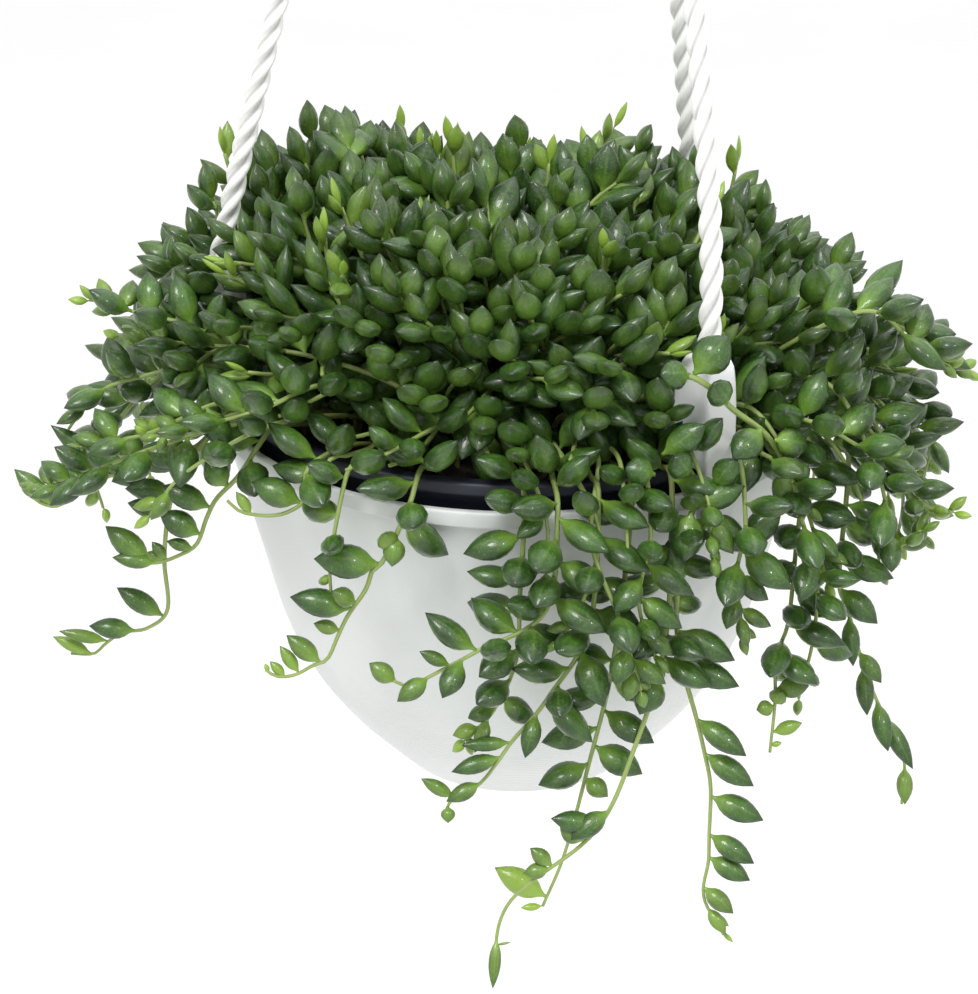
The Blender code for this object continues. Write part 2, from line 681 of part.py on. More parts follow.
def build_core():
    """The mound's core as a grid of quads, foot to crown; returns it with its upper faces."""
    bm = bmesh.new()
    rows = []
    for radius, height in CORE_ROWS:
        row = []
        for j in range(CORE_SEGMENTS):
            azimuth = 360 * j / CORE_SEGMENTS
            row.append(bm.verts.new(core_point(radius, height, azimuth)))
        rows.append(row)
    bm.faces.new(list(reversed(rows[0])))
    upper = []
    for k, (low, high) in enumerate(zip(rows, rows[1:])):
        for j in range(CORE_SEGMENTS):
            after = (j + 1) % CORE_SEGMENTS
            face = bm.faces.new((low[j], low[after], high[after], high[j]))
            if k >= CORE_FIRST_LEAVES:
                upper.append((face, k, j))
    crown = bm.verts.new((0, 0, CORE_TOP))
    for j in range(CORE_SEGMENTS):
        bm.faces.new((rows[-1][j], rows[-1][(j + 1) % CORE_SEGMENTS], crown))
    bmesh.ops.recalc_face_normals(bm, faces=bm.faces)
    return bm, upper


def bush_heading(normal, centre, lean, swirl):
    """A leaf's direction on the mound: out of its face, leaning downhill and to one side."""
    out = Vector((centre.x, centre.y, 0)).normalized()
    downhill = (out - normal * out.dot(normal)).normalized()
    return (normal + downhill * lean + normal.cross(downhill) * swirl).normalized()


def grow_sprig(bm, face, heading):
    """A short shoot out of the mound, with leaves round it and one at its end."""
    face = shrink_face(bm, face, STEM_RADIUS)
    bend = Vector((draw.uniform(-0.2, 0.2), draw.uniform(-0.2, 0.2), 0.25))
    for _ in range(SPRIG_SEGMENTS):
        for step in (SPRIG_STEP - PETIOLE, PETIOLE):
            grown = bmesh.ops.extrude_discrete_faces(bm, faces=[face])["faces"][0]
            bmesh.ops.translate(bm, vec=heading * step, verts=grown.verts)
            face = grown
        sides = [f for e in face.edges for f in e.link_faces if f != face]
        block(face.calc_center_median() - heading * SPRIG_STEP, face.calc_center_median(),
              STEM_RADIUS, "mound")
        for side in sides:
            side.normal_update()
            lean = draw.uniform(0.5, 1.0)
            try_leaf(bm, side, (side.normal + heading * lean).normalized(),
                     LEAF_LENGTH * draw.uniform(0.7, 0.9), "mound")
        heading = (heading + bend).normalized()
    grow_leaf(bm, face, heading, LEAF_LENGTH * END_LEAF, LEAF_WIDTH * 0.5)


def sprig_place(item):
    """Whether a sprig may stand on this face: on the upper bands, away from clips and ropes."""
    face, row, _ = item
    face.normal_update()
    centre = face.calc_center_median()
    azimuth = math.degrees(math.atan2(centre.y, centre.x))
    heading = (face.normal + SPRIG_RISE).normalized()
    room = leaf_free(centre, heading, SPRIG_STEP * SPRIG_SEGMENTS + 8, 3.0, "mound")
    return SPRIG_ROWS[0] <= row <= SPRIG_ROWS[1] and notch(azimuth) == 0 and room


def build_mound(rim, green):
    """The dense middle of the plant: sprigs, then leaves standing out of the core."""
    bm, upper = build_core()
    draw.shuffle(upper)
    taken = []
    for item in upper:
        if len(taken) < SPRIGS and sprig_place(item):
            taken.append(item)
            grow_sprig(bm, item[0], (item[0].normal + SPRIG_RISE).normalized())
    for face, row, segment in upper:
        if (face, row, segment) in taken:
            continue
        face.normal_update()
        centre = face.calc_center_median()
        width = (face.verts[0].co - face.verts[1].co).length
        if width < BUSH_SPACING * 0.8 and segment % math.ceil(BUSH_SPACING / width):
            continue
        normal = face.normal.copy()
        for _ in range(BUSH_TRIES):
            length = BUSH_LEAF_LENGTH * draw.uniform(0.75, 1.1)
            heading = bush_heading(normal, centre, draw.uniform(-0.3, 0.8), draw.uniform(-0.7, 0.7))
            radius = BUSH_LEAF_WIDTH * length / BUSH_LEAF_LENGTH / 2
            if leaf_free(centre, heading, length, radius * BUSH_FILL, "mound"):
                seat = shrink_face(bm, face, BUSH_SEAT)
                grow_leaf(bm, seat, heading, length, 2 * radius, BUSH_RINGS)
                block(*leaf_rod(centre, heading, length), radius * BUSH_FILL, "mound")
                break
    add_object("mound", bm, green, rim)


def block_hanger():
    """Blocks the clips and ropes, so that leaves part round them."""
    for place in CLIP_AZIMUTHS:
        azimuth = CLIP_AZIMUTHS[place]
        for radius in CLIP_BLOCK_RADII:
            for off in (-0.8, 0.8):
                block(polar(radius, azimuth + off, -10), polar(radius, azimuth + off, 35),
                      CLIP_BLOCK, place)
        line = rope_line(place)
        for start, end in zip(line, line[1:]):
            block(start, end, ROPE_RADIUS + 0.8, place)


def build_plant(rim):
    """Every stem first, then their leaves and the mound, each clear of all before it."""
    green = material("leaf_green", (0.05, 0.16, 0.03), 0.35)
    block_hanger()
    routes = {name: route_of(name, outside) for name, outside in TRAILS.items()}
    for k, numbers in enumerate(HIDDEN):
        name = f"side_{k + 1:02d}"
        routes[name] = route_of(name, hidden_route(*numbers))
    grown = {name: build_stem(name, route) for name, route in routes.items()}
    for name, (bm, facets, cap, along) in grown.items():
        leaf_stem(name, bm, facets, cap, along)
        add_object("stem_" + name, bm, green, rim)
    build_mound(rim, green)


def main():
    for item in list(bpy.data.objects):
        bpy.data.objects.remove(item)
    rim = bpy.data.objects.new("rim_centre", None)
    bpy.context.scene.collection.objects.link(rim)
    rim.location = (POT_AXIS_X * MM, 0, -RIM_BELOW_HOOK * MM)
    build_pot(rim)
    build_liner(rim)
    build_plant(rim)
    build_soil(rim, roots)
    for place in CLIP_AZIMUTHS:
        build_clip(rim, place)
        build_rope(rim, place)
    build_hanger()


main()
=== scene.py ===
"""Looks of a white hanging pot of trailing, teardrop-leaved succulent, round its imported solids.

Shapes are worked out in millimetres from the centre of the white pot's rim: +X right, +Y away from
the camera, +Z up. Each piece is moved to its place in metres as its mesh is made.
"""

import math
import random

import bmesh
import bpy
import numpy as np
from bpy.props import FloatProperty, FloatVectorProperty, IntProperty, PointerProperty
from mathutils import Matrix, Vector, noise


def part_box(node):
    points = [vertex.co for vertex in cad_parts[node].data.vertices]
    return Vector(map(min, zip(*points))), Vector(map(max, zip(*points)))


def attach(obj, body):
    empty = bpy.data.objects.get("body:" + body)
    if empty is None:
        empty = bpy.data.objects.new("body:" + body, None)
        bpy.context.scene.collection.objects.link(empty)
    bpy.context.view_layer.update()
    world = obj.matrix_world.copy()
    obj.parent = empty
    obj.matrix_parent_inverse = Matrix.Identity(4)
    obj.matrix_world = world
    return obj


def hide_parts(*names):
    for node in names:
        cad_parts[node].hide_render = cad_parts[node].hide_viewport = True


bl_info = {
    "name": "Hanging Pot of String of Pearls",
    "version": (1, 0, 0),
    "blender": (4, 5, 0),
    "location": "View3D > Sidebar > Pearls",
    "description": "Builds the finished surfaces of a hanging pot with its trailing succulent",
    "category": "Add Mesh",
}

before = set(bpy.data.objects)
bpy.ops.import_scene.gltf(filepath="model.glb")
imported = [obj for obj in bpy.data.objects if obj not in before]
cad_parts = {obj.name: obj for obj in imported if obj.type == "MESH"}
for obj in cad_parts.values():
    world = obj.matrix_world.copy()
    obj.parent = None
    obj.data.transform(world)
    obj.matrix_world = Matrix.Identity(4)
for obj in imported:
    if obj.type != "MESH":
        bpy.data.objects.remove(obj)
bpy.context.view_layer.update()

MM = 0.001
POT_LOW, POT_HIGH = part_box("pot")
RIM = Vector(((POT_LOW.x + POT_HIGH.x) / 2, (POT_LOW.y + POT_HIGH.y) / 2, POT_HIGH.z))
HOOK_ABOVE_RIM = -RIM.z / MM
HOOK_SIDE = -RIM.x / MM

# Camera that sees the pot as the photograph shows it
IMAGE_WIDTH = 978
IMAGE_HEIGHT = 994
FOCAL = 3030.0               # pixels
CAMERA_DISTANCE = 0.900      # from the rim's centre, m
CAMERA_RISE = 23.0           # degrees above the rim
RIM_PIXEL = (517, 384)

# Pots and soil (mm)
POT_OUTSIDE = ((88.6, -5.0), (84.0, -20), (77.4, -45), (71.4, -68), (64.0, -85),
               (54.4, -99), (44.5, -110), (37.0, -118))
POT_RIM_RADIUS = 90.0
POT_WALL = 2.5
POT_LIP = 5.0
POT_FLOOR = -115.2
LINER_FOOT = -98.3
LINER_FOOT_RADIUS = 52.0
LINER_RADIUS = 82.2
LINER_WALL = 1.2
LINER_ROLL = 4.6
LINER_ROLL_RADIUS = 85.5
LINER_TOP = 6.5
FIT = 0.3
SOIL_TOP = -2.0

# Hanger (mm)
CLIP_AZIMUTHS = {"front": -53.5, "rear": 51.8, "left": 179.4}
CLIP_HALF = 5.4              # half the clip's width
CLIP_NECK = 3.9              # half the width of its flat top
CLIP_SLICES = (-5.4, -5.3, -5.05, -4.75, -4.4, -3.9, -2.2, 0.0,
               2.2, 3.9, 4.4, 4.75, 5.05, 5.3, 5.4)
CLIP_INNER = 78.3
CLIP_OUTER = 93.7
CLIP_TOP = 39.0
CLIP_SHOULDER = 12.0         # how far the shoulders drop from the flat top
ROPE_FOOT_RADIUS = 87.0
ROPE_RADIUS = 3.25
SOCKET_DEPTH = 9.0
ROPE_PITCH = 19.0
ROPE_BOWS = {"front": 4.9, "rear": 0.6, "left": 0.6}
ROPE_BEND = 0.15
ROPE_TOP_RADIUS = 6.0
ROPE_TOP_GAP = 1.1           # from its axis' end up to the cap
ROPE_SIDES = 27
ROPE_STEP = 1.2
GROOVE = 0.66                # a rope's least radius, between two strands, as a share
CAP_UNDERSIDE = -39.0
CAP_RADIUS = 11.5
RING_RADIUS = 13.0
RING_WIRE = 2.4
RING_STEPS = 96
RING_SIDES = 16

# Stems that the photograph shows: name, then the points outside the rim, nearest first (mm)
TRAILS = {
    "left_1": ((-88, -53, 9), (-96, -58, 8), (-102, -64, 12)),
    "left_2": ((-91, -41, -2), (-108, -37, -11), (-118, -34, -15), (-125, -30, -21),
               (-133, -25, -28), (-137, -23, -30), (-141, -25, -27), (-143, -25, -23)),
    "left_3": ((-76, -61, 0), (-79, -61, -4), (-84, -62, -9), (-87, -62, -15), (-90, -62, -23),
               (-95, -61, -27), (-102, -60, -30), (-107, -58, -30), (-112, -56, -28),
               (-115, -55, -25)),
    "left_4": ((-92, -46, -3), (-97, -44, -12), (-100, -42, -22), (-102, -42, -38),
               (-102, -40, -55), (-109, -35, -64), (-117, -30, -68), (-123, -26, -74),
               (-127, -25, -78), (-134, -23, -79)),
    "front_1": ((-57, -79, 8), (-58, -79, -1), (-63, -79, -5), (-68, -79, -6), (-73, -80, -5),
                (-76, -80, -4), (-79, -80, -1)),
    "front_2": ((-29, -92, 3), (-36, -92, -13), (-39, -92, -16), (-41, -92, -22), (-46, -92, -30),
                (-49, -91, -37), (-52, -91, -44), (-56, -91, -46), (-61, -91, -49),
                (-66, -92, -49), (-69, -92, -47)),
    "front_3": ((2, -97, 0), (1, -99, -20), (0, -99, -40), (-6, -98, -56), (-14, -97, -66)),
    "front_4": ((11, -98, 4), (8, -104, -22), (-10, -110, -31), (-19, -109, -37), (-24, -109, -40),
                (-29, -108, -43), (-34, -108, -41)),
    "front_5": ((22, -94, 6), (20, -98, -30), (9, -101, -50), (4, -102, -57), (-1, -103, -63),
                (-5, -104, -69), (-10, -104, -76), (-17, -103, -81), (-19, -102, -85)),
    "front_6": ((42, -85, 6), (41, -93, -36), (33, -100, -66), (22, -106, -90), (-2, -109, -112),
                (-6, -110, -138)),
    "front_7": ((31, -90, 4), (27, -93, -42), (20, -92, -79), (14, -92, -106), (8, -94, -122)),
    "front_8": ((49, -82, 3), (44, -90, -12), (44, -91, -23), (44, -92, -33), (46, -92, -46),
                (50, -91, -61), (53, -90, -74), (55, -90, -85), (55, -91, -100), (55, -92, -108),
                (54, -92, -120), (60, -93, -132)),
    "right_1": ((80, -56, 3), (78, -68, -22), (76, -76, -40), (73, -77, -50), (73, -80, -63),
                (72, -82, -78)),
    "right_2": ((92, -53, 8), (91, -64, -30), (93, -62, -40), (95, -60, -46), (99, -56, -60),
                (104, -50, -75), (108, -46, -85), (113, -44, -97), (116, -43, -104),
                (116, -43, -118)),
    "right_3": ((99, -38, 8), (112, -52, -12), (122, -62, -12)),
    "right_4": ((70, -62, 7), (79, -72, -4), (86, -77, -26)),
}
# The rest, hidden or half hidden in the photograph: azimuth, reach, drop, sideways drift
# (degrees, mm, mm, degrees)
HIDDEN = (
    (-12, 26, 40, -2), (-2, 34, 30, 2), (9, 28, 52, 2), (21, 32, 30, 2), (34, 24, 60, -2),
    (61, 24, 40, 2), (76, 26, 74, 2), (91, 24, 38, 2), (105, 28, 88, 2), (119, 24, 46, 2),
    (133, 30, 68, 2), (148, 28, 36, -2), (163, 34, 50, -2), (191, 36, 28, 2), (242, 15, 24, -1),
)
STEM_RING = (63.0, 69.0)     # the stems stand in two staggered rings
STEM_RADIUS = 1.1
CREST = LINER_TOP + FIT + STEM_RADIUS + 0.9
CREST_RADII = (80.0, 88.0)   # a stem lies over the rims from one to the other

# Mound, by azimuth (degrees, mm): how far its edge reaches, and how high its edge and crown stand
MOUND_REACH = ((-180, 116), (-150, 108), (-125, 96), (-105, 86), (-85, 93), (-65, 103), (-45, 110),
               (-15, 119), (10, 122), (45, 119), (90, 108), (135, 113), (180, 116))
MOUND_EDGE = ((-180, 6), (-125, 6), (-100, 8), (-80, 6), (-60, 0), (-30, -10), (0, -4), (60, 3),
              (180, 6))
MOUND_CROWN = ((-180, 62), (-135, 62), (-90, 54), (-45, 48), (0, 35), (45, 50), (90, 44),
               (135, 66), (180, 62))
MOUND_MIDDLE = 50.0          # its height over the pot's axis
MOUND_SHOULDER = 4.0         # the larger, the nearer its edge it starts to fall
SHOOTS = 220
LIME_RISE = 5.0              # how far a newly grown shoot stands above its neighbours
LEAVES_A_SHOOT = 10
# Shoots that stand above the rest: tip, lean outwards in radians, and whether newly grown
SPRIGS = (
    (-87, 28, 62, 0.2, 1), (-89, 8, 54, 0.3, 0), (-62, 38, 62, 0.2, 0), (-52, 38, 61, -0.1, 1),
    (-35, 48, 62, 0.1, 1), (-24, 48, 54, -0.1, 1), (1, 58, 52, -0.1, 0), (29, 58, 60, 0.6, 1),
    (36, 58, 52, 0.7, 0), (67, 58, 48, 0.1, 1), (53, 58, 46, 0.2, 0), (-98, 0, 36, 0.4, 0),
    (73, 38, 38, 0.3, 0), (-84, 14, 50, 0.2, 1),
)
# Stems that lie over the mound or hang from its edge: points from where they come out of it
SPRAYS = (
    ((-21, -70, 17), (-35, -86, 16), (-46, -88, 12)),
    ((-52, -60, 25), (-71, -74, 23), (-98, -70, 14)),
    ((-32, -62, 25), (-60, -50, 30), (-92, -38, 28), (-113, -30, 27)),
    ((89, -20, 35), (111, -20, 26), (131, -10, 9)),
    ((78, -64, 17), (94, -66, 10), (109, -54, -3)),
    ((12, -82, 14), (22, -99, 0), (18, -104, -19), (12, -104, -31)),
    ((33, -80, 14), (36, -98, -1), (33, -102, -20), (38, -102, -38)),
    ((22, -82, 13), (20, -102, -2), (28, -106, -24), (34, -106, -45)),
    ((70, -68, 12), (78, -80, -6), (83, -80, -24), (83, -78, -44), (80, -76, -64)),
    ((84, -50, 8), (99, -62, -15), (103, -60, -31)),
    ((58, -72, 14), (62, -88, -2), (60, -92, -16), (62, -92, -35)),
    ((-89, -40, 33), (-106, -40, 38), (-115, -30, 37), (-121, -30, 38)),
    ((-79, -60, 20), (-101, -66, 13), (-122, -56, 4)),
    ((-78, -62, 14), (-107, -64, 5), (-127, -56, -7), (-136, -50, -11)),
    ((-66, -66, 16), (-90, -76, 6), (-101, -74, -8)),
    ((93, -48, 42), (110, -44, 32), (124, -24, 16)),
    ((84, -50, 23), (99, -68, 4), (105, -70, -18), (112, -72, -13)),
    ((92, -40, 10), (110, -50, -10), (116, -52, -24)),
    ((98, -26, 10), (112, -32, -6), (117, -36, -22)),
    ((-88, -30, 18), (-111, -34, 15), (-119, -33, 11), (-126, -32, 3), (-129, -32, -1)),
    ((2, -84, 14), (8, -97, 2), (8, -101, -12)),
    ((27, -84, 15), (29, -98, 5), (30, -104, -9)),
    ((44, -77, 17), (51, -90, 6), (53, -97, -9)),
    ((62, -66, 22), (74, -74, 10), (80, -76, -4)),
)
SPRAY_ROOT_RADIUS = 60.0
LIMY_SPRAYS = (2, 3, 11, 14, 15)   # those with lime ends; the others' are green
GREEN_ENDS = ("front_4", "front_5", "left_2", "left_3")   # stems whose ends are green too
GREEN_YOUTH = 0.4            # how much of a newest leaf's lime they show
# The stem that crosses the front clip, and its leaves and their neighbours there: where each
# grows, its way from base to point, and its width (mm)
CLIP_STEM = ((40, -80, 33), (44, -84, 38), (48, -86, 38), (53, -85, 34), (58, -83, 28), (66, -78, 20),
             (70, -75, 14), (74, -71, 5), (76, -68, -3))
CLIP_LEAVES = (
    (47, -85, 39, 9, 4, 9, 10.6), (46, -85, 39, -8, -5, 2, 8.2), (56, -86, 31, -4, -5, 8, 7.9),
    (66, -82, 22, -8, -8, -5, 8.8), (70, -78, 17, 9, 7, -5, 8.5), (39, -88, 17, 11, -1, 9, 7.9),
    (46, -90, 12, -4, -4, 7, 8.2), (53, -86, 7, 6, -3, 9, 7.4), (37, -92, 13, -8, -3, 3, 8.8),
    (48, -90, 3, 13, 3, 4, 7.4), (71, -76, 8, 8, 4, -17, 10.0), (75, -77, 6, 5, 2, 1, 6.5),
    (51, -88, -1, 12, 6, -13, 8.8), (62, -83, -13, 10, 6, 10, 8.2), (47, -92, 2, -2, -3, -13, 10.0),
)
# Leaves that the photograph shows one by one on the ends of stems: how far back from the stem's
# tip each grows, its way from base to point, and its width (mm)
SET_LEAVES = {
    "left_4": ((7, -11, 1, 5, 3.9), (15, -14, 0, 3, 3.9), (28, -13, -1, 2, 6.2), (42, -13, 2, 8, 6.2),
               (63, -5, 0, 2, 2.9), (78, -11, 0, 3, 5.8), (86, -13, -1, 1, 6.6),
               (99, -14, -1, 3, 8.0)),
    "left_3": ((5, -4, 1, 4, 2.3), (11, -3, 2, 7, 3.7), (14, -12, 2, 10, 7.1), (16, -12, -1, 2, 4.8),
               (19, -4, 1, 5, 3.4), (28, -7, 0, 2, 3.7), (33, -11, 1, 6, 7.3), (42, -13, 1, 6, 7.0),
               (50, -6, 2, 7, 7.3)),
    "left_2": ((4, -4, 1, 5, 2.6), (11, -11, 3, 10, 5.9), (24, -10, 0, 4, 3.8), (31, -13, 0, 5, 6.4),
               (40, -18, 3, 13, 6.3), (47, -17, 0, 6, 7.2), (52, -11, -3, -4, 7.5),
               (67, -16, -4, -4, 9.1)),
    "front_1": ((8, -4, 1, 6, 3.1), (23, -13, 2, 5, 8.0)),
    "front_2": ((1, -1, 1, 2, 1.4), (6, -4, 1, 4, 2.8), (10, -5, 2, 7, 3.6), (17, -9, 2, 7, 5.5),
                (29, -7, 0, 2, 4.1), (37, -16, -1, 4, 7.9), (39, -6, -3, 5, 5.5),
                (53, -17, -1, 2, 9.5), (59, -1, -3, 5, 6.0), (63, -1, -4, -7, 5.9)),
    "front_4": ((2, -7, 1, 5, 5.4), (12, -8, -4, -5, 5.4), (19, -8, 0, 4, 3.8), (23, -5, -8, -7, 6.4)),
    "front_5": ((1, 0, -2, -4, 3.9), (5, -9, 1, 5, 3.9), (14, -9, -3, -4, 4.7), (24, -13, -3, -3, 5.0),
                (29, -13, -2, 0, 4.1), (40, -3, -6, -10, 5.2)),
    "front_6": ((13, 4, 0, 1, 0.8), (16, -1, -7, -12, 3.4), (43, -7, -1, -1, 4.5), (44, -6, 1, 5, 4.5),
                (56, -7, 1, 5, 6.7), (62, -13, -2, 3, 6.1), (67, -10, -5, -6, 6.1),
                (108, -5, -7, -8, 8.6)),
    "front_7": ((0, -6, -1, 0, 2.2), (3, -14, 2, 8, 7.4), (43, 6, -3, -4, 5.6)),
    "front_8": ((1, 3, -2, -2, 1.4), (8, 5, -2, -3, 2.6), (10, 5, -4, -6, 4.0), (17, 8, -4, -6, 5.4),
                (27, 11, -4, -5, 6.0), (34, 12, -5, -6, 6.2), (46, 14, -4, -5, 7.1),
                (60, 13, -5, -7, 6.7), (72, 13, -6, -8, 6.7), (91, 15, -4, -5, 7.2),
                (101, 15, -5, -6, 7.9), (113, -2, 3, 14, 8.2)),
    "right_1": ((2, 3, 0, 1, 1.7), (6, 8, 0, 3, 4.0), (14, -5, -2, 0, 4.5), (15, 1, -3, 5, 5.1),
                (19, 9, 0, 1, 5.9)),
    "right_2": ((13, 0, -6, -9, 4.8), (34, 8, -8, -13, 5.3), (41, 3, -8, -12, 5.6),
                (58, 1, -7, -12, 5.2), (64, 6, -5, -7, 5.2), (79, 1, -7, -12, 5.1),
                (91, 10, -5, -8, 7.3), (100, 14, -4, -4, 7.3)),
}

# A leaf: station along it, share of its half width
LEAF_PROFILE = ((0.00, 0.13), (0.06, 0.15), (0.13, 0.32), (0.22, 0.66), (0.33, 0.90), (0.46, 1.0),
                (0.59, 0.97), (0.72, 0.80), (0.84, 0.52), (0.94, 0.20))
LEAF_SIDES = 10
LEAF_SLOT, STEM_SLOT = 0, 1
LEAF_ABOVE = 0.62            # how thick a leaf is above and below its margin, over its half width
LEAF_BELOW = 0.84
LEAF_KEEL = 0.08             # how far the ridge along its upper side stands up
GOLDEN_ANGLE = 137.508
SEED = 11
# The stretch of a leaf that its rod stands for, and the rod's radius over the leaf's half width
LEAF_BODY = (0.36, 0.74)
SET_BODY = (0.3, 0.8)
TRAIL_SQUEEZE = 0.80
MOUND_SQUEEZE = 0.54
TIP_CLEAR = 0.2              # room round a leaf's tip, mm
# What a leaf tries until it has room: more turn, more lean, share of its size
SLANTS = ((0, 0, 1), (0.5, 0.15, 1), (-0.5, 0.15, 0.95), (0.2, -0.3, 0.9), (-0.9, 0.3, 0.85),
          (0.9, 0.3, 0.85))
RODS = 12000                 # room for this many rods
TRAIL_FIRST = 0.6            # from a stem's tip to its newest leaf, mm
TRAIL_SPACING = 5.4
TRAIL_GROWN = 26             # this far back from its tip its leaves are full grown
TRAIL_LIME = 17              # and this far back they have lost their lime
SPRIG_SPACING = 8.0
LIME_SPACING = 7.0
LIME_SHARE = 0.17            # of the shoots
MOUND_PLUMP = 0.82           # how thick the mound's leaves are beside the stems'
ROOT_LEAN = 1.4              # lean of the line from a stem's middle to a leaf's root, radians

# Stage (m)
FLOOR_BELOW_HOOK = 1.6
FLOOR_REACH = 40.0


def linear(red, green, blue):
    """A scene linear colour from 0 to 255 display values."""
    return tuple(((c / 255 + 0.055) / 1.055) ** 2.4 if c > 10 else c / 255 / 12.92
                 for c in (red, green, blue))


# Settings

def paint(name, description, *display):
    """A colour setting, its default given in 0 to 255 display values."""
    return FloatVectorProperty(name=name, description=description, default=linear(*display),
                               size=3, subtype="COLOR")


class LeafLooks(bpy.types.PropertyGroup):
    length: FloatProperty(name="Leaf length", description="Full-grown leaf, base to tip",
                          default=0.0161, min=0.005, max=0.03, unit="LENGTH")
    width: FloatProperty(name="Leaf width", description="Full-grown leaf at its belly",
                         default=0.0092, min=0.003, max=0.02, unit="LENGTH")
    dark: paint("Old leaf", "Colour of the darkest leaves", 18, 42, 18)
    mid: paint("Leaf", "Colour of the brightest full-grown leaves", 66, 106, 34)
    base: paint("Leaf base", "Colour where a leaf joins its stem", 112, 148, 56)
    young: paint("Young leaf", "Colour of the newest tips", 142, 174, 64)
    tip: paint("Leaf point", "Colour of a leaf's very point", 34, 34, 24)
    stem: paint("Stem", "Colour of a young stem", 150, 168, 96)
    old_stem: paint("Old stem", "Colour of a stem near its root", 98, 92, 54)


class PotLooks(bpy.types.PropertyGroup):
    pot: paint("Pot", "White plastic of the bowl", 211, 214, 212)
    liner: paint("Nursery pot", "Blue-black thin plastic", 27, 30, 42)
    soil: paint("Soil", "Damp potting soil", 46, 33, 25)
    segments: IntProperty(name="Segments", description="Steps round the pot", default=128, min=24)


class HangerLooks(bpy.types.PropertyGroup):
    rope_diameter: FloatProperty(name="Rope", description="Diameter of a rope",
                                 default=0.0065, min=0.002, max=0.02, unit="LENGTH")
    twist: FloatProperty(name="Lay of the rope", description="Length of one strand's whole turn",
                         default=0.0245, min=0.005, max=0.1, unit="LENGTH")
    rope: paint("Rope colour", "White synthetic yarn", 244, 244, 241)
    clip: paint("Clip colour", "White moulded plastic", 238, 239, 240)


# Meshes

def polar(radius, azimuth, height):
    """A point round the pot's axis from its distance, azimuth in degrees and height."""
    turn = math.radians(azimuth)
    return Vector((radius * math.cos(turn), radius * math.sin(turn), height))


def to_metres(point):
    """A point of the rim's frame, in mm, as a point of the model's own frame."""
    return RIM + Vector(point) * MM


class Mesher:
    """Collects the parts of one piece in millimetres, then makes its object."""

    def __init__(self):
        self.points = []
        self.marks = []
        self.skins = []
        self.faces = []
        self.slots = []
        self.count = 0

    def add(self, points, faces, slot=0, marks=None, skins=None):
        """Adds points with faces among them. marks and skins are three numbers a point."""
        size = len(points)
        blank = np.zeros((size, 3))
        self.points.append(np.asarray(points, float))
        self.marks.append(blank if marks is None else marks)
        self.skins.append(blank if skins is None else skins)
        self.faces += [tuple(corner + self.count for corner in face) for face in faces]
        self.slots += [slot] * len(faces)
        self.count += size

    def make(self, name, materials):
        """Makes the piece, at its place in the model."""
        mesh = bpy.data.meshes.new(name)
        where = np.concatenate(self.points) * MM + np.array(RIM)
        mesh.from_pydata(where.tolist(), [], self.faces)
        mesh.polygons.foreach_set("material_index", self.slots)
        for title, rows in (("growth", self.marks), ("skin", self.skins)):
            layer = mesh.attributes.new(title, "FLOAT_VECTOR", "POINT")
            layer.data.foreach_set("vector", np.concatenate(rows).astype(np.float32).ravel())
        mesh.shade_smooth()
        for item in materials:
            mesh.materials.append(item)
        mesh.update()
        piece = new_object(name, mesh)
        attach(piece, "root")
        return piece


def new_object(name, data):
    """A new object in the scene."""
    made = bpy.data.objects.new(name, data)
    bpy.context.scene.collection.objects.link(made)
    return made


def grid_faces(rings, sides):
    """Quads between rings of points, listed ring by ring."""
    faces = []
    for k in range(rings - 1):
        for j in range(sides):
            after = (j + 1) % sides
            faces.append((k * sides + j, k * sides + after,
                          (k + 1) * sides + after, (k + 1) * sides + j))
    return faces


def closed_faces(rings, sides):
    """Quads between rings of points, with a face over each end."""
    return grid_faces(rings, sides) + [tuple(reversed(range(sides))),
                                       tuple(range((rings - 1) * sides, rings * sides))]


def lengths_along(line):
    """How far along a line each of its points lies."""
    return np.concatenate([[0], np.cumsum(np.linalg.norm(np.diff(line, axis=0), axis=1))])


def directions_along(line):
    """A line's direction at each of its points."""
    ahead = np.gradient(line, axis=0)
    return ahead / np.linalg.norm(ahead, axis=1)[:, None]


def frames_along(points):
    """Directions, sides and ups along a line, turned as little as may be."""
    line = np.array([tuple(p) for p in points])
    ahead = directions_along(line)
    up = np.cross(ahead[0], (0.31, 0.87, 0.22))
    sides, ups = [], []
    for direction in ahead:
        up = up - direction * up.dot(direction)
        up /= np.linalg.norm(up)
        ups.append(up)
        sides.append(np.cross(direction, up))
    return line, ahead, np.array(sides), np.array(ups)


def add_tube(mesher, points, radii, sides, slot, marks):
    """A closed tube through points, with a radius at each."""
    line, ahead, side, up = frames_along(points)
    turns = np.arange(sides) * 2 * math.pi / sides
    ring = np.stack([np.cos(turns), np.sin(turns)], 1)
    radii = np.asarray(radii, float)
    body = (line[:, None] + radii[:, None, None]
            * (ring[None, :, :1] * side[:, None] + ring[None, :, 1:] * up[:, None]))
    rows = len(line)
    points = np.concatenate([body.reshape(-1, 3), line[:1] - ahead[:1] * radii[0] * 0.3,
                             line[-1:] + ahead[-1:] * radii[-1] * 0.5])
    faces = grid_faces(rows, sides)
    first, last = rows * sides, rows * sides + 1
    for j in range(sides):
        after = (j + 1) % sides
        faces.append((first, after, j))
        faces.append((last, (rows - 1) * sides + j, (rows - 1) * sides + after))
    marks = np.concatenate([np.repeat(marks, sides, axis=0), marks[:1], marks[-1:]])
    skins = np.zeros((len(points), 3))
    skins[:rows * sides, :2] = np.tile(ring, (rows, 1))
    skins[:rows * sides, 2] = np.repeat(np.arange(rows) / 4, sides)
    mesher.add(points, faces, slot, marks, skins)


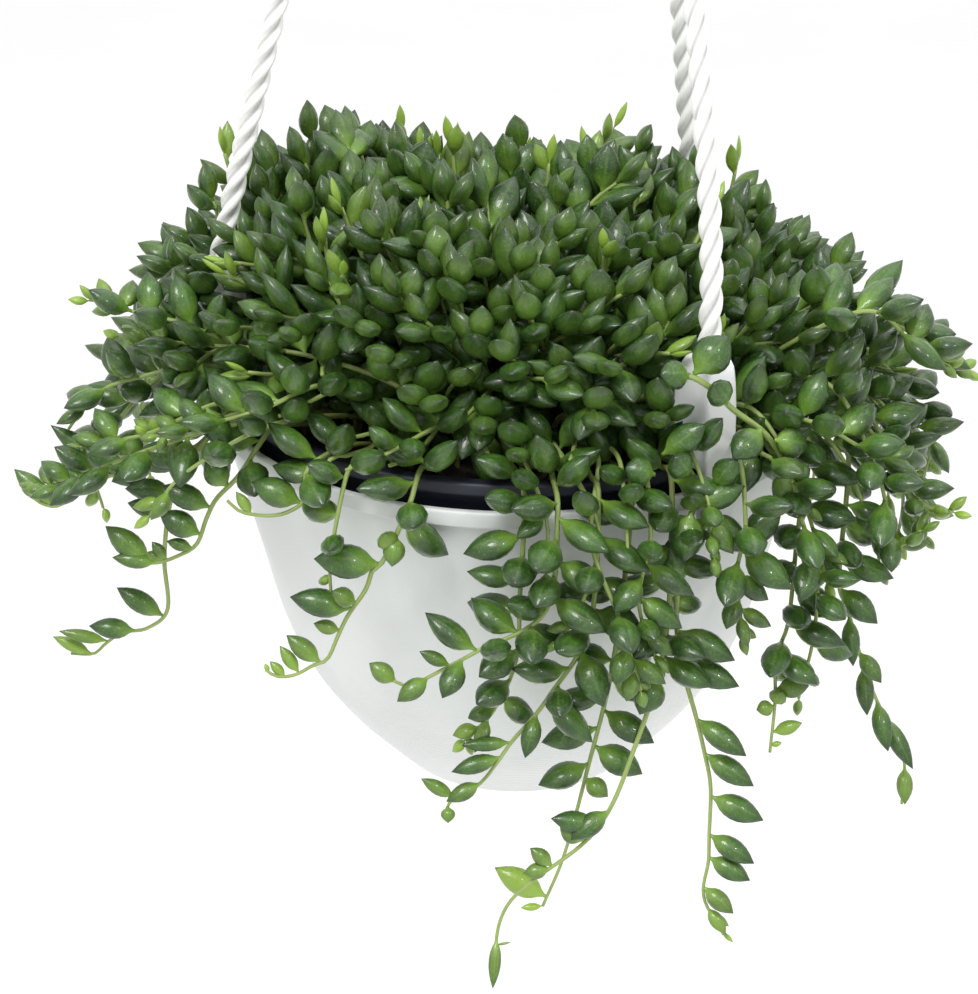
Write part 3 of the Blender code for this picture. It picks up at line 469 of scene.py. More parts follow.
def turned_piece(name, profile, segments, materials, wobble=None):
    """A closed solid turned round the pot's axis from (radius, height) points."""
    turns = np.arange(segments) * 2 * math.pi / segments
    points, rows = [], []
    for radius, height in profile:
        rows.append((len(points), 1 if radius == 0 else segments))
        if radius == 0:
            points.append((0, 0, height))
            continue
        for turn in turns:
            point = (radius * math.cos(turn), radius * math.sin(turn), height)
            points.append(wobble(point) if wobble else point)
    faces = []
    for (low, low_size), (high, high_size) in zip(rows, rows[1:]):
        for j in range(segments):
            after = (j + 1) % segments
            corners = (low + j % low_size, low + after % low_size,
                       high + after % high_size, high + j % high_size)
            faces.append(tuple(dict.fromkeys(corners)))
    mesher = Mesher()
    mesher.add(points, faces)
    piece = mesher.make(name, materials)
    tidy_normals(piece.data)
    return piece


def tidy_normals(mesh, sharp=40):
    """Turns every face outward and keeps the sharp edges sharp."""
    bm = bmesh.new()
    bm.from_mesh(mesh)
    bmesh.ops.recalc_face_normals(bm, faces=bm.faces)
    bm.to_mesh(mesh)
    bm.free()
    mesh.shade_smooth()
    mesh.set_sharp_from_angle(angle=math.radians(sharp))


def rounded(profile, radius, steps=4):
    """A profile with each inner corner replaced by a short arc."""
    points = [Vector(p) for p in profile]
    out = [tuple(points[0])]
    for before, here, after in zip(points, points[1:], points[2:]):
        reach = min(radius, (before - here).length * 0.45, (after - here).length * 0.45)
        start = here + (before - here).normalized() * reach
        end = here + (after - here).normalized() * reach
        for k in range(steps + 1):
            t = k / steps
            out.append(tuple(start * (1 - t) ** 2 + here * 2 * t * (1 - t) + end * t ** 2))
    out.append(tuple(points[-1]))
    return out


def smooth_line(points, step):
    """Points about a step apart on a smooth curve through the given ones."""
    points = [Vector(p) for p in points]
    ends = [points[0] * 2 - points[1], *points, points[-1] * 2 - points[-2]]
    fine = []
    for a, b, c, d in zip(ends, ends[1:], ends[2:], ends[3:]):
        for k in range(16):
            t = k / 16
            fine.append(0.5 * ((2 * b) + (c - a) * t + (2 * a - 5 * b + 4 * c - d) * t ** 2
                               + (3 * b - a - 3 * c + d) * t ** 3))
    fine.append(points[-1])
    fine = np.array([tuple(p) for p in fine])
    lengths = lengths_along(fine)
    count = max(2, round(lengths[-1] / step))
    goals = np.linspace(0, lengths[-1], count + 1)
    return np.stack([np.interp(goals, lengths, fine[:, k]) for k in range(3)], 1)


# Materials

def new_group(name, inputs, outputs):
    """A shader node group of plain numbers: inputs with their defaults, and names of outputs."""
    group = bpy.data.node_groups.new(name, "ShaderNodeTree")
    for title, default in inputs.items():
        made = group.interface.new_socket(name=title, in_out="INPUT",
                                          socket_type="NodeSocketFloat")
        made.default_value = default
    for title in outputs:
        group.interface.new_socket(name=title, in_out="OUTPUT", socket_type="NodeSocketFloat")
    entry = group.nodes.new("NodeGroupInput")
    leave = group.nodes.new("NodeGroupOutput")
    return group, entry.outputs, leave


def feed(tree, made, values):
    """Sets a node's inputs by name or number, or links another node's socket to them."""
    for key, value in values.items():
        if isinstance(value, bpy.types.NodeSocket):
            tree.links.new(value, made.inputs[key])
        else:
            made.inputs[key].default_value = value


def node(tree, kind, inputs=None, **values):
    """A node with its properties and its inputs set."""
    made = tree.nodes.new(kind)
    for key, value in values.items():
        setattr(made, key, value)
    feed(tree, made, inputs or {})
    return made


def blend_colours(tree, share, first, second):
    """A mix of two colours."""
    first, second = (colour if isinstance(colour, bpy.types.NodeSocket) else (*colour, 1.0)
                     for colour in (first, second))
    return node(tree, "ShaderNodeMix", {0: share, 6: first, 7: second}, data_type="RGBA",
                clamp_factor=True).outputs[2]


def scaled(colour, share):
    """A colour made darker or lighter."""
    return tuple(part * share for part in colour)


def ramp(tree, value, low, high, out_low=0.0, out_high=1.0):
    """A value stretched smoothly from one range to another, and held inside it."""
    return node(tree, "ShaderNodeMapRange", dict(enumerate((value, low, high, out_low, out_high))),
                clamp=True, interpolation_type="SMOOTHSTEP").outputs[0]


def maths(tree, operation, first, second):
    """One sum of two values."""
    return node(tree, "ShaderNodeMath", {0: first, 1: second}, operation=operation).outputs[0]


def multiply(tree, first, second):
    """Two values' product."""
    return maths(tree, "MULTIPLY", first, second)


def noise_at(tree, place, scale, detail):
    """Noise read at a place."""
    return node(tree, "ShaderNodeTexNoise",
                {"Vector": place, "Scale": scale, "Detail": detail}).outputs[0]


def carried(tree, name):
    """The three numbers that a mesh's points carry under a name."""
    held = node(tree, "ShaderNodeAttribute", attribute_name=name).outputs["Vector"]
    return node(tree, "ShaderNodeSeparateXYZ", {0: held}).outputs


def mottle_group():
    """Soft blotches and fine specks over a surface, as two masks and a height."""
    group, given, result = new_group("Mottle", {"Size": 60.0, "Speck Size": 900.0},
                                     ("Blotch", "Speck", "Height"))
    place = node(group, "ShaderNodeTexCoord").outputs["Object"]
    broad = noise_at(group, place, given["Size"], 3.0)
    fine = noise_at(group, place, given["Speck Size"], 2.0)
    feed(group, result, {"Blotch": ramp(group, broad, 0.35, 0.68),
                         "Speck": ramp(group, fine, 0.60, 0.74),
                         "Height": maths(group, "ADD", broad, multiply(group, fine, 0.25))})


def growth_group():
    """What the plant's meshes carry: station, tone, youth and a grain along each leaf."""
    group, given, result = new_group(
        "Growth", {"Streaks": 5.0},
        ("Along", "Tone", "Youth", "Upper", "Across", "Grain", "Fleck", "Dust"))
    parts = carried(group, "growth")
    local = carried(group, "skin")
    lengthwise = maths(group, "ADD", multiply(group, local[2], 0.5),
                       multiply(group, parts[1], 37.0))
    stretched = node(group, "ShaderNodeCombineXYZ",
                     {0: local[0], 1: local[1], 2: lengthwise}).outputs[0]
    place = node(group, "ShaderNodeTexCoord").outputs["Object"]
    feed(group, result, {
        "Along": parts[0], "Tone": parts[1], "Youth": parts[2], "Upper": local[1],
        "Across": maths(group, "ABSOLUTE", local[0], 0.0),
        "Grain": noise_at(group, stretched, given["Streaks"], 3.0),
        "Fleck": noise_at(group, place, 260.0, 2.0), "Dust": noise_at(group, place, 1500.0, 1.0)})


def start_material(name):
    """A new material; returns it with its tree and its shader."""
    made = bpy.data.materials.new(name)
    made.use_nodes = True
    return made, made.node_tree, made.node_tree.nodes["Principled BSDF"]


def use_group(tree, name, **values):
    """A copy of a node group in a material, with its inputs set."""
    made = tree.nodes.new("ShaderNodeGroup")
    made.node_tree = bpy.data.node_groups[name]
    for key, value in values.items():
        made.inputs[key.replace("_", " ")].default_value = value
    return made.outputs


def bump(tree, shader, height, strength, distance):
    """A bump from a height into a shader."""
    made = node(tree, "ShaderNodeBump",
                {"Height": height, "Strength": strength, "Distance": distance})
    feed(tree, shader, {"Normal": made.outputs[0]})


def leaf_material():
    """Glossy fleshy leaf: pale base, green belly, dark margin and point, lime when young; painted
    shade on its flanks and a pale keel line that is partly a painted highlight.
    """
    looks = bpy.context.scene.pearl_leaf
    made, tree, shader = start_material("fleshy_leaf")
    grown = use_group(tree, "Growth")
    mood = maths(tree, "ADD", multiply(tree, grown["Tone"], 0.62),
                 multiply(tree, ramp(tree, grown["Fleck"], 0.3, 0.7), 0.22))
    mood = maths(tree, "ADD", mood, multiply(tree, grown["Grain"], 0.22))
    belly = blend_colours(tree, mood, looks.dark, looks.mid)
    under = ramp(tree, grown["Upper"], 0.35, -0.9, 0.0, 0.30)
    belly = blend_colours(tree, under, belly, looks.base)
    neck = ramp(tree, grown["Along"], 0.56, 0.02, 0.0, 0.95)
    body = blend_colours(tree, neck, belly, looks.base)
    # A pale line along the keel on the upper side: partly the leaf's translucent window, partly a
    # painted highlight.
    window_line_and_highlight = multiply(tree, ramp(tree, grown["Across"], 0.16, 0.02, 0.0, 0.22),
                     ramp(tree, grown["Upper"], 0.25, 0.6))
    body = blend_colours(tree, window_line_and_highlight, body, looks.base)
    body = blend_colours(tree, ramp(tree, grown["Dust"], 0.52, 0.70, 0.0, 0.16), body, looks.stem)
    fresh = blend_colours(tree, multiply(tree, grown["Youth"], 0.9), body, looks.young)
    # Painted shade: darker towards the flanks, as a rounded leaf's sides fall into shade, and towards
    # the point, which is partly the leaf's own dark point.
    shade = multiply(tree, maths(tree, "SUBTRACT", 1.0, grown["Youth"]), 0.62)
    sides = multiply(tree, ramp(tree, grown["Across"], 0.42, 1.0), shade)
    end = multiply(tree, ramp(tree, grown["Along"], 0.58, 0.98), shade)
    shaded_flanks = blend_colours(tree, maths(tree, "MAXIMUM", sides, end), fresh, looks.dark)
    off_margin = maths(tree, "ABSOLUTE", grown["Upper"], 0.0)
    margin = multiply(tree, ramp(tree, off_margin, 0.07, 0.01, 0.0, 0.35),
                      ramp(tree, grown["Along"], 0.30, 0.50))
    edged = blend_colours(tree, margin, shaded_flanks, looks.tip)
    point = ramp(tree, grown["Along"], 0.93, 1.0, 0.0, 0.8)
    feed(tree, shader, {"Base Color": blend_colours(tree, point, edged, looks.tip),
                        "Roughness": ramp(tree, grown["Grain"], 0.3, 0.7, 0.28, 0.46),
                        "Specular IOR Level": 0.45, "Coat Weight": 0.32, "Coat Roughness": 0.09})
    height = maths(tree, "ADD", grown["Grain"], multiply(tree, grown["Fleck"], 1.4))
    height = maths(tree, "ADD", height, multiply(tree, grown["Dust"], 0.3))
    bump(tree, shader, height, 0.25, 0.0006)
    return made


def stem_material():
    """Pale green stem that turns brown towards its root, with a faint lengthwise grain."""
    looks = bpy.context.scene.pearl_leaf
    made, tree, shader = start_material("young_stem")
    grown = use_group(tree, "Growth", Streaks=3.0)
    age = ramp(tree, grown["Youth"], 0.55, 0.05)
    colour = blend_colours(tree, age, looks.stem, looks.old_stem)
    streak = ramp(tree, grown["Grain"], 0.42, 0.66, 0.0, 0.45)
    feed(tree, shader, {"Base Color": blend_colours(tree, streak, colour, looks.mid),
                        "Roughness": 0.5})
    bump(tree, shader, grown["Grain"], 0.4, 0.0005)
    return made


def plastic_material(name, colour, roughness, shade, rings=0.0):
    """Moulded plastic with faint blotches, specks of dust and, low on the bowl, turning rings."""
    made, tree, shader = start_material(name)
    spots = use_group(tree, "Mottle", Size=34.0, Speck_Size=1500.0)
    tone = blend_colours(tree, multiply(tree, spots["Blotch"], 0.35), colour, scaled(colour, shade))
    dust = multiply(tree, spots["Speck"], 0.10)
    feed(tree, shader, {
        "Base Color": blend_colours(tree, dust, tone, scaled(colour, 0.55)),
        "Roughness": ramp(tree, spots["Blotch"], 0.0, 1.0, roughness, roughness + 0.1)})
    height = multiply(tree, spots["Height"], 0.3)
    if rings:
        place = node(tree, "ShaderNodeTexCoord").outputs["Object"]
        high = node(tree, "ShaderNodeSeparateXYZ", {0: place}).outputs[2]
        depth = ramp(tree, high, RIM.z - 0.060, RIM.z - 0.105)
        wave = node(tree, "ShaderNodeTexWave",
                    {"Vector": place, "Scale": rings, "Distortion": 0.6}, wave_type="BANDS",
                    bands_direction="Z").outputs[1]
        height = maths(tree, "ADD", height, multiply(tree, wave, depth))
    bump(tree, shader, height, 0.25, 0.0008)
    return made


def soil_material():
    """Dark potting soil with lighter fibres."""
    looks = bpy.context.scene.pearl_pot
    made, tree, shader = start_material("potting_soil")
    spots = use_group(tree, "Mottle", Size=160.0, Speck_Size=700.0)
    dark = blend_colours(tree, spots["Blotch"], scaled(looks.soil, 0.35), looks.soil)
    feed(tree, shader, {
        "Base Color": blend_colours(tree, spots["Speck"], dark, scaled(looks.soil, 2.6)),
        "Roughness": 0.95})
    bump(tree, shader, spots["Height"], 0.9, 0.003)
    return made


def rope_material():
    """White yarn: fine threads that wind round each strand, with painted shade down in the grooves
    between strands.
    """
    looks = bpy.context.scene.pearl_hanger
    made, tree, shader = start_material("white_rope")
    local = carried(tree, "skin")
    wound = node(tree, "ShaderNodeCombineXYZ", {0: local[0]}).outputs[0]
    threads = node(tree, "ShaderNodeTexWave", {"Vector": wound, "Scale": 1.0, "Distortion": 0.0},
                   wave_type="BANDS", bands_direction="X").outputs[1]
    # Painted shade: darker where the rope's radius falls into the grooves between strands.
    groove_shade = ramp(tree, local[1], 0.73, GROOVE)
    spots = use_group(tree, "Mottle", Size=220.0, Speck_Size=1800.0)
    tone = blend_colours(tree, multiply(tree, groove_shade, 0.6), looks.rope, scaled(looks.rope, 0.40))
    tone = blend_colours(tree, multiply(tree, spots["Blotch"], 0.15), tone,
                         scaled(looks.rope, 0.84))
    feed(tree, shader, {"Base Color": tone, "Roughness": 0.75, "Sheen Weight": 0.2})
    bump(tree, shader, threads, 0.35, 0.0004)
    return made


def floor_material():
    """A pale, almost white sweep of matt board."""
    made, tree, shader = start_material("pale_floor")
    spots = use_group(tree, "Mottle", Size=3.0, Speck_Size=40.0)
    feed(tree, shader, {"Base Color": blend_colours(tree, spots["Blotch"], (0.965,) * 3,
                                                    (0.985,) * 3), "Roughness": 0.8})
    return made


def finish_of(name):
    """The material of that name, made when it is first asked for."""
    pot = bpy.context.scene.pearl_pot
    hanger = bpy.context.scene.pearl_hanger
    if name not in bpy.data.materials:
        for group, maker in (("Mottle", mottle_group), ("Growth", growth_group)):
            if group not in bpy.data.node_groups:
                maker()
        {
            "fleshy_leaf": leaf_material,
            "young_stem": stem_material,
            "bowl_plastic": lambda: plastic_material("bowl_plastic", pot.pot, 0.36, 0.90, 260.0),
            "nursery_plastic": lambda: plastic_material("nursery_plastic", pot.liner, 0.42, 1.8),
            "clip_plastic": lambda: plastic_material("clip_plastic", hanger.clip, 0.34, 0.92),
            "potting_soil": soil_material,
            "white_rope": rope_material,
            "pale_floor": floor_material,
        }[name]()
    return bpy.data.materials[name]


# Ropes, clips and hanger

def rope_points(place):
    """A rope's points, as its solid has them: its foot in the clip, the clip's mouth, the cap."""
    azimuth = CLIP_AZIMUTHS[place]
    mouth = polar(ROPE_FOOT_RADIUS, azimuth, CLIP_TOP)
    cap = Vector((HOOK_SIDE, 0, HOOK_ABOVE_RIM + CAP_UNDERSIDE))
    top = cap + polar(ROPE_TOP_RADIUS, azimuth, -ROPE_TOP_GAP)
    count = round((top - mouth).length / ROPE_PITCH)
    line = []
    for k in range(count + 1):
        bend = k / count / ROPE_BEND
        bow = ROPE_BOWS[place] * bend * math.exp(1 - bend)
        line.append(mouth.lerp(top, k / count) + polar(bow, azimuth, 0))
    foot = mouth - (line[1] - mouth).normalized() * (SOCKET_DEPTH - FIT)
    return [foot, *line]


def lobe(turn):
    """A three-strand rope's radius at an angle, as a share of its full radius."""
    centre = 1 / (1 + math.sqrt(3) / 2)
    strand = 1 - centre
    off = (turn + math.pi / 3) % (2 * math.pi / 3) - math.pi / 3
    inside = max(strand ** 2 - (centre * math.sin(off)) ** 2, 0.0)
    return max(centre * math.cos(off) + math.sqrt(inside), GROOVE), off


def build_rope(place):
    """One twisted rope, drawn as a turning three-lobed tube."""
    looks = bpy.context.scene.pearl_hanger
    radius = looks.rope_diameter / MM / 2
    route = rope_points(place)
    line, _, side, up = frames_along(smooth_line(route, ROPE_STEP))
    length = lengths_along(line)
    points, skins = [], []
    for k, centre in enumerate(line):
        spin = 2 * math.pi * length[k] / (looks.twist / MM)
        for j in range(ROPE_SIDES):
            turn = 2 * math.pi * j / ROPE_SIDES
            share, off = lobe(turn)
            out = side[k] * math.cos(turn - spin) + up[k] * math.sin(turn - spin)
            points.append(centre + out * radius * share)
            skins.append((length[k] * 0.55 + off * 1.6, share, 0))
    mesher = Mesher()
    mesher.add(points, closed_faces(len(line), ROPE_SIDES), skins=np.array(skins))
    piece = mesher.make("twisted_rope_" + place, [finish_of("white_rope")])
    tidy_normals(piece.data, 80)
    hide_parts("rope_" + place)


def clip_slice(across):
    """A clip's outline at a distance across it, as (radius, height) points: its top is rounded."""
    over = max(0.0, (abs(across) - CLIP_NECK) / (CLIP_HALF - CLIP_NECK))
    drop = CLIP_SHOULDER * (1 - math.sqrt(max(0.0, 1 - over * over)))
    soft = 0.9 * over ** 6
    rim = POT_RIM_RADIUS
    inner_leg = LINER_RADIUS - LINER_WALL - 1.0
    slot_top = LINER_TOP + FIT
    under = -POT_LIP - FIT
    outer = ((CLIP_OUTER, -13), (CLIP_OUTER, 27), (CLIP_OUTER - 0.5, 33), (92.6, 36.6), (90.8, 38.6),
             (89.0, CLIP_TOP), (85.0, CLIP_TOP), (82.6, 38.2), (80.6, 35.4), (79.2, 31),
             (CLIP_INNER, 25), (CLIP_INNER, 1.0))
    above = [(r + (soft if r < 86 else -soft), z - drop * min(1.0, max(0.0, (z - 8) / 19)))
             for r, z in outer]
    return above + [(inner_leg, 1.0 + 0.5 * soft), (inner_leg, slot_top), (rim + 1.0, slot_top),
                    (rim + 1.0, under), (rim - 1.1, under), (rim + 1.0, under - 3.2),
                    (rim + 1.0, -13)]


def build_clip(place):
    """A moulded clip over both rims, its top rounded, with the socket that the rope stands in."""
    azimuth = CLIP_AZIMUTHS[place]
    out = polar(1, azimuth, 0)
    side = polar(1, azimuth + 90, 0)
    slices = [[out * r + Vector((0, 0, z)) + side * across for r, z in clip_slice(across)]
              for across in CLIP_SLICES]
    mesher = Mesher()
    mesher.add([tuple(p) for row in slices for p in row],
               closed_faces(len(slices), len(slices[0])))
    piece = mesher.make("rim_clip_" + place, [finish_of("clip_plastic")])
    tidy_normals(piece.data)
    mouth, above = rope_points(place)[1:3]
    along = (above - mouth).normalized()
    bore(piece, mouth - along * SOCKET_DEPTH, mouth + along * 6, ROPE_RADIUS + FIT)
    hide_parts("clip_" + place)


def bore(piece, start, end, radius):
    """Cuts a round hole between two points out of a piece."""
    along = end - start
    bm = bmesh.new()
    bmesh.ops.create_cone(bm, cap_ends=True, segments=40, radius1=radius * MM, radius2=radius * MM,
                          depth=along.length * MM)
    bmesh.ops.rotate(bm, matrix=along.to_track_quat("Z", "Y").to_matrix(), verts=bm.verts)
    bmesh.ops.translate(bm, vec=to_metres((start + end) / 2), verts=bm.verts)
    mesh = bpy.data.meshes.new("drill")
    bm.to_mesh(mesh)
    bm.free()
    drill = new_object("drill", mesh)
    change = piece.modifiers.new("bore", "BOOLEAN")
    change.operation = "DIFFERENCE"
    change.solver = "EXACT"
    change.object = drill
    bpy.context.view_layer.update()
    shape = piece.evaluated_get(bpy.context.evaluated_depsgraph_get())
    bored = bpy.data.meshes.new_from_object(shape)
    piece.modifiers.clear()
    piece.data = bored
    bpy.data.objects.remove(drill)
    bpy.data.meshes.remove(mesh)
    bored.name = piece.name
    tidy_normals(bored)


def build_hanger_cap():
    """The cap that gathers the ropes, with the ring moulded onto it."""
    centre = HOOK_ABOVE_RIM - (RING_RADIUS - RING_WIRE)
    top = centre - RING_RADIUS + 1.5
    under = HOOK_ABOVE_RIM + CAP_UNDERSIDE
    profile = rounded(((0, under), (CAP_RADIUS, under), (CAP_RADIUS, under + 5), (6.5, top - 1),
                       (5.0, top), (0, top)), 1.2)
    plastic = finish_of("clip_plastic")
    cap = turned_piece("hanger_cap", profile, 64, [plastic])
    ring = Mesher()
    points = []
    for k in range(RING_STEPS):
        turn = 2 * math.pi * k / RING_STEPS
        for j in range(RING_SIDES):
            roll = 2 * math.pi * j / RING_SIDES
            reach = RING_RADIUS + RING_WIRE * math.cos(roll)
            points.append((reach * math.cos(turn), RING_WIRE * math.sin(roll),
                           centre + reach * math.sin(turn)))
    last = (RING_STEPS - 1) * RING_SIDES
    faces = grid_faces(RING_STEPS, RING_SIDES)
    for j in range(RING_SIDES):
        after = (j + 1) % RING_SIDES
        faces.append((last + j, last + after, after, j))
    ring.add(points, faces)
    loop = ring.make("hanger_ring", [plastic])
    tidy_normals(loop.data, 80)
    for piece in (cap, loop):
        piece.data.transform(Matrix.Translation(Vector((HOOK_SIDE * MM, 0, 0))))
    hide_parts("hanger")


# Pots and soil

def pot_outside(height):
    """Radius of the white pot's outside at a height, and of its rim above that."""
    for (r0, z0), (r1, z1) in zip(POT_OUTSIDE, POT_OUTSIDE[1:]):
        if z1 <= height < z0:
            return r0 + (r1 - r0) * (z0 - height) / (z0 - z1)
    return POT_RIM_RADIUS if height >= POT_OUTSIDE[0][1] else 0.0


def fine_outside(step):
    """The bowl's outside as a smooth line of (radius, height), foot to lip."""
    line = smooth_line([(r, 0, z) for r, z in reversed(POT_OUTSIDE)], step)
    return [(p[0], p[2]) for p in line]


def build_bowl():
    """The white bowl with its rounded lip."""
    outside = fine_outside(4.0)
    inside = [(r - POT_WALL, z) for r, z in reversed(outside) if POT_FLOOR < z < -20]
    lip = rounded(((outside[-1][0], -POT_LIP), (POT_RIM_RADIUS, -POT_LIP + 0.2),
                   (POT_RIM_RADIUS, 0.0), (POT_RIM_RADIUS - POT_WALL, 0.0),
                   (inside[0][0], -22.0)), 0.9)
    foot = outside[0][0]
    profile = ([(0, POT_OUTSIDE[-1][1] + 1.2), (foot - 4, POT_OUTSIDE[-1][1] + 1.2),
                (foot - 2.5, POT_OUTSIDE[-1][1])] + outside[:-1] + lip + inside
               + [(foot - 4, POT_FLOOR), (0, POT_FLOOR)])
    looks = bpy.context.scene.pearl_pot
    piece = turned_piece("white_bowl", profile, looks.segments, [finish_of("bowl_plastic")])
    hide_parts("pot")


def build_liner():
    """The nursery pot: thin wall and a rolled rim that stands above the bowl."""
    roll = rounded(((LINER_RADIUS, LINER_TOP - LINER_ROLL), (LINER_ROLL_RADIUS, 2.2),
                    (LINER_ROLL_RADIUS, LINER_TOP), (LINER_RADIUS - LINER_WALL, LINER_TOP),
                    (LINER_RADIUS - LINER_WALL, 0.0)), 1.6, 6)
    profile = ([(0, LINER_FOOT), (LINER_FOOT_RADIUS, LINER_FOOT), (LINER_RADIUS, 0.0)] + roll
               + [(LINER_FOOT_RADIUS - LINER_WALL, LINER_FOOT + LINER_WALL),
                  (0, LINER_FOOT + LINER_WALL)])
    looks = bpy.context.scene.pearl_pot
    piece = turned_piece("nursery_pot_wall", profile, looks.segments,
                         [finish_of("nursery_plastic")])
    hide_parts("nursery_pot")


def crumble(point):
    """Lifts the soil's top into crumbs and leaves its side alone."""
    x, y, z = point
    if z < SOIL_TOP - 0.5:
        return point
    rough = noise.fractal(Vector((x, y, 3.0)) * 0.16, 0.7, 2.1, 4)
    return (x, y, z + max(-2.2, min(1.6, rough * 2.4)))


def build_soil():
    """The root ball with its crumbly top."""
    slope = (LINER_RADIUS - LINER_FOOT_RADIUS) / -LINER_FOOT
    floor = LINER_FOOT + LINER_WALL + FIT
    top_radius = LINER_RADIUS - LINER_WALL - 2 * FIT - 0.4
    rings = [(top_radius * (1 - k / 34), SOIL_TOP) for k in range(34)]
    profile = ([(0, floor), (top_radius + slope * floor, floor), (top_radius, SOIL_TOP - 1)]
               + rings + [(0, SOIL_TOP)])
    piece = turned_piece("crumbly_soil", profile, 144, [finish_of("potting_soil")], crumble)
    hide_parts("soil")


# The plant

def level(table, azimuth):
    """A value read smoothly from (azimuth, value) rows."""
    azimuth = (azimuth + 180) % 360 - 180
    for (a0, v0), (a1, v1) in zip(table, table[1:]):
        if a0 <= azimuth <= a1:
            share = (azimuth - a0) / (a1 - a0)
            return v0 + (v1 - v0) * share * share * (3 - 2 * share)
    return table[-1][1]


class Room:
    """Round-ended rods that are taken, so that leaves part round each other."""

    def __init__(self):
        self.rods = np.zeros((RODS, 7))
        self.size = 0

    def take(self, start, end, radius):
        self.rods[self.size] = (*start, *end, radius)
        self.size += 1

    def gap(self, start, end, radius):
        """The smallest gap from a rod to those taken; less than 0 is an overlap."""
        rods = self.rods[:self.size]
        first = rods[:, 0:3]
        along = rods[:, 3:6] - first
        length = np.maximum((along ** 2).sum(1), 1e-9)
        steps = np.linspace(0, 1, 5)[:, None]
        samples = np.asarray(start) * (1 - steps) + np.asarray(end) * steps
        share = np.einsum("snk,nk->sn", samples[:, None] - first[None], along) / length
        nearest = first[None] + np.clip(share, 0, 1)[..., None] * along[None]
        apart = np.linalg.norm(samples[:, None] - nearest, axis=2).min(0) - rods[:, 6]
        return float(apart.min()) - radius


room = Room()


def clear_of_pots(point, reach):
    """Whether a ball lies above the rims or outside the bowl."""
    if point[2] - reach > LINER_TOP + FIT:
        return True
    out = math.hypot(point[0], point[1])
    if out < LINER_RADIUS - 4 and point[2] - reach > SOIL_TOP + 1.5:
        return out + reach < LINER_RADIUS - 2
    return out - reach > pot_outside(point[2]) + 0.4


def leaf_template():
    """A leaf's points as station, across, up and profile, with its faces."""
    turns = np.arange(LEAF_SIDES) * 2 * math.pi / LEAF_SIDES
    rows = []
    for station, share in LEAF_PROFILE:
        for turn in turns:
            keel = 1 + LEAF_KEEL * max(0.0, math.sin(turn)) ** 12
            rows.append((station, math.cos(turn) * share, math.sin(turn) * share * keel, share))
    rows.append((1.0, 0.0, 0.0, 0.0))
    rows.append((-0.01, 0.0, 0.0, 0.0))
    rings = len(LEAF_PROFILE)
    faces = grid_faces(rings, LEAF_SIDES)
    tip, root = rings * LEAF_SIDES, rings * LEAF_SIDES + 1
    for j in range(LEAF_SIDES):
        after = (j + 1) % LEAF_SIDES
        faces.append((tip, (rings - 1) * LEAF_SIDES + j, (rings - 1) * LEAF_SIDES + after))
        faces.append((root, after, j))
    return np.array(rows), faces


TEMPLATE, TEMPLATE_FACES = leaf_template()


def add_leaf(mesher, base, heading, up, length, width, tone, youth, curl, plump=1.0):
    """One leaf, flatter above than below, its point turned a little up."""
    heading = np.asarray(heading)
    up = np.asarray(up) - heading * np.dot(up, heading)
    up = up / np.linalg.norm(up)
    side = np.cross(heading, up)
    station, across, rise = TEMPLATE[:, 0:1], TEMPLATE[:, 1:2], TEMPLATE[:, 2:3]
    thick = np.where(rise > 0, LEAF_ABOVE, LEAF_BELOW)
    lift = curl * length * np.clip(station, 0, 1) ** 2
    points = (np.asarray(base) + heading * station * length + up * lift
              + side * across * width / 2 + up * rise * thick * plump * width / 2)
    marks = np.empty((len(points), 3))
    marks[:, 0] = TEMPLATE[:, 0]
    marks[:, 1] = tone
    marks[:, 2] = youth
    skins = np.stack([TEMPLATE[:, 1], TEMPLATE[:, 2], TEMPLATE[:, 0] * 2], 1)
    mesher.add(points, TEMPLATE_FACES, LEAF_SLOT, marks, skins)


def direction(along, out, angle, lean):
    """A leaf's heading: off its stem by lean, round it by angle from the outward side."""
    side = np.cross(along, out)
    around = out * math.cos(angle) + side * math.sin(angle)
    made = along * math.cos(lean) + around * math.sin(lean)
    return made / np.linalg.norm(made)


def upward(point, along):
    """The side of a stem that faces up, or away from the pot where the stem hangs."""
    out = np.array((point[0], point[1], 0.0))
    out /= max(np.linalg.norm(out), 1e-6)
    lift = np.array((0, 0, along.dot(out) + 0.35)) - out * along[2]
    lift -= along * lift.dot(along)
    return lift / np.linalg.norm(lift)


def try_leaf(mesher, draw, base, along, out, angle, lean, length, width, tone, youth, squeeze,
             rise=0.0, plump=1.0):
    """Grows a leaf where it has room, trying a few slants; says whether it did."""
    for twist, tilt, size in SLANTS:
        heading = direction(along, out, angle + twist, lean + tilt) + np.array((0, 0, rise))
        heading /= np.linalg.norm(heading)
        long, wide = length * size, width * size
        start = np.asarray(base) + heading * long * LEAF_BODY[0]
        end = np.asarray(base) + heading * long * LEAF_BODY[1]
        radius = wide / 2 * squeeze
        tip = np.asarray(base) + heading * long
        if not (clear_of_pots(start, radius) and clear_of_pots(end, radius * 0.8)
                and clear_of_pots(tip, TIP_CLEAR)):
            continue
        if room.gap(start, end, radius) < 0 or room.gap(tip, tip, TIP_CLEAR) < 0:
            continue
        room.take(start, end, radius)
        up = np.array((draw.uniform(-0.4, 0.4), draw.uniform(-0.4, 0.4), 1.0)) + out * 0.4
        add_leaf(mesher, base, heading, up, long, wide, tone, youth, draw.uniform(0.02, 0.12),
                 plump)
        return True
    return False


def stem_marks(line, length, youth_from, youth_to):
    """Growth marks along a stem: station, tone and youth."""
    share = np.linspace(0, 1, len(line))
    return np.stack([share * length / 20, np.full(len(line), 0.5),
                     youth_from + (youth_to - youth_from) * share], 1)


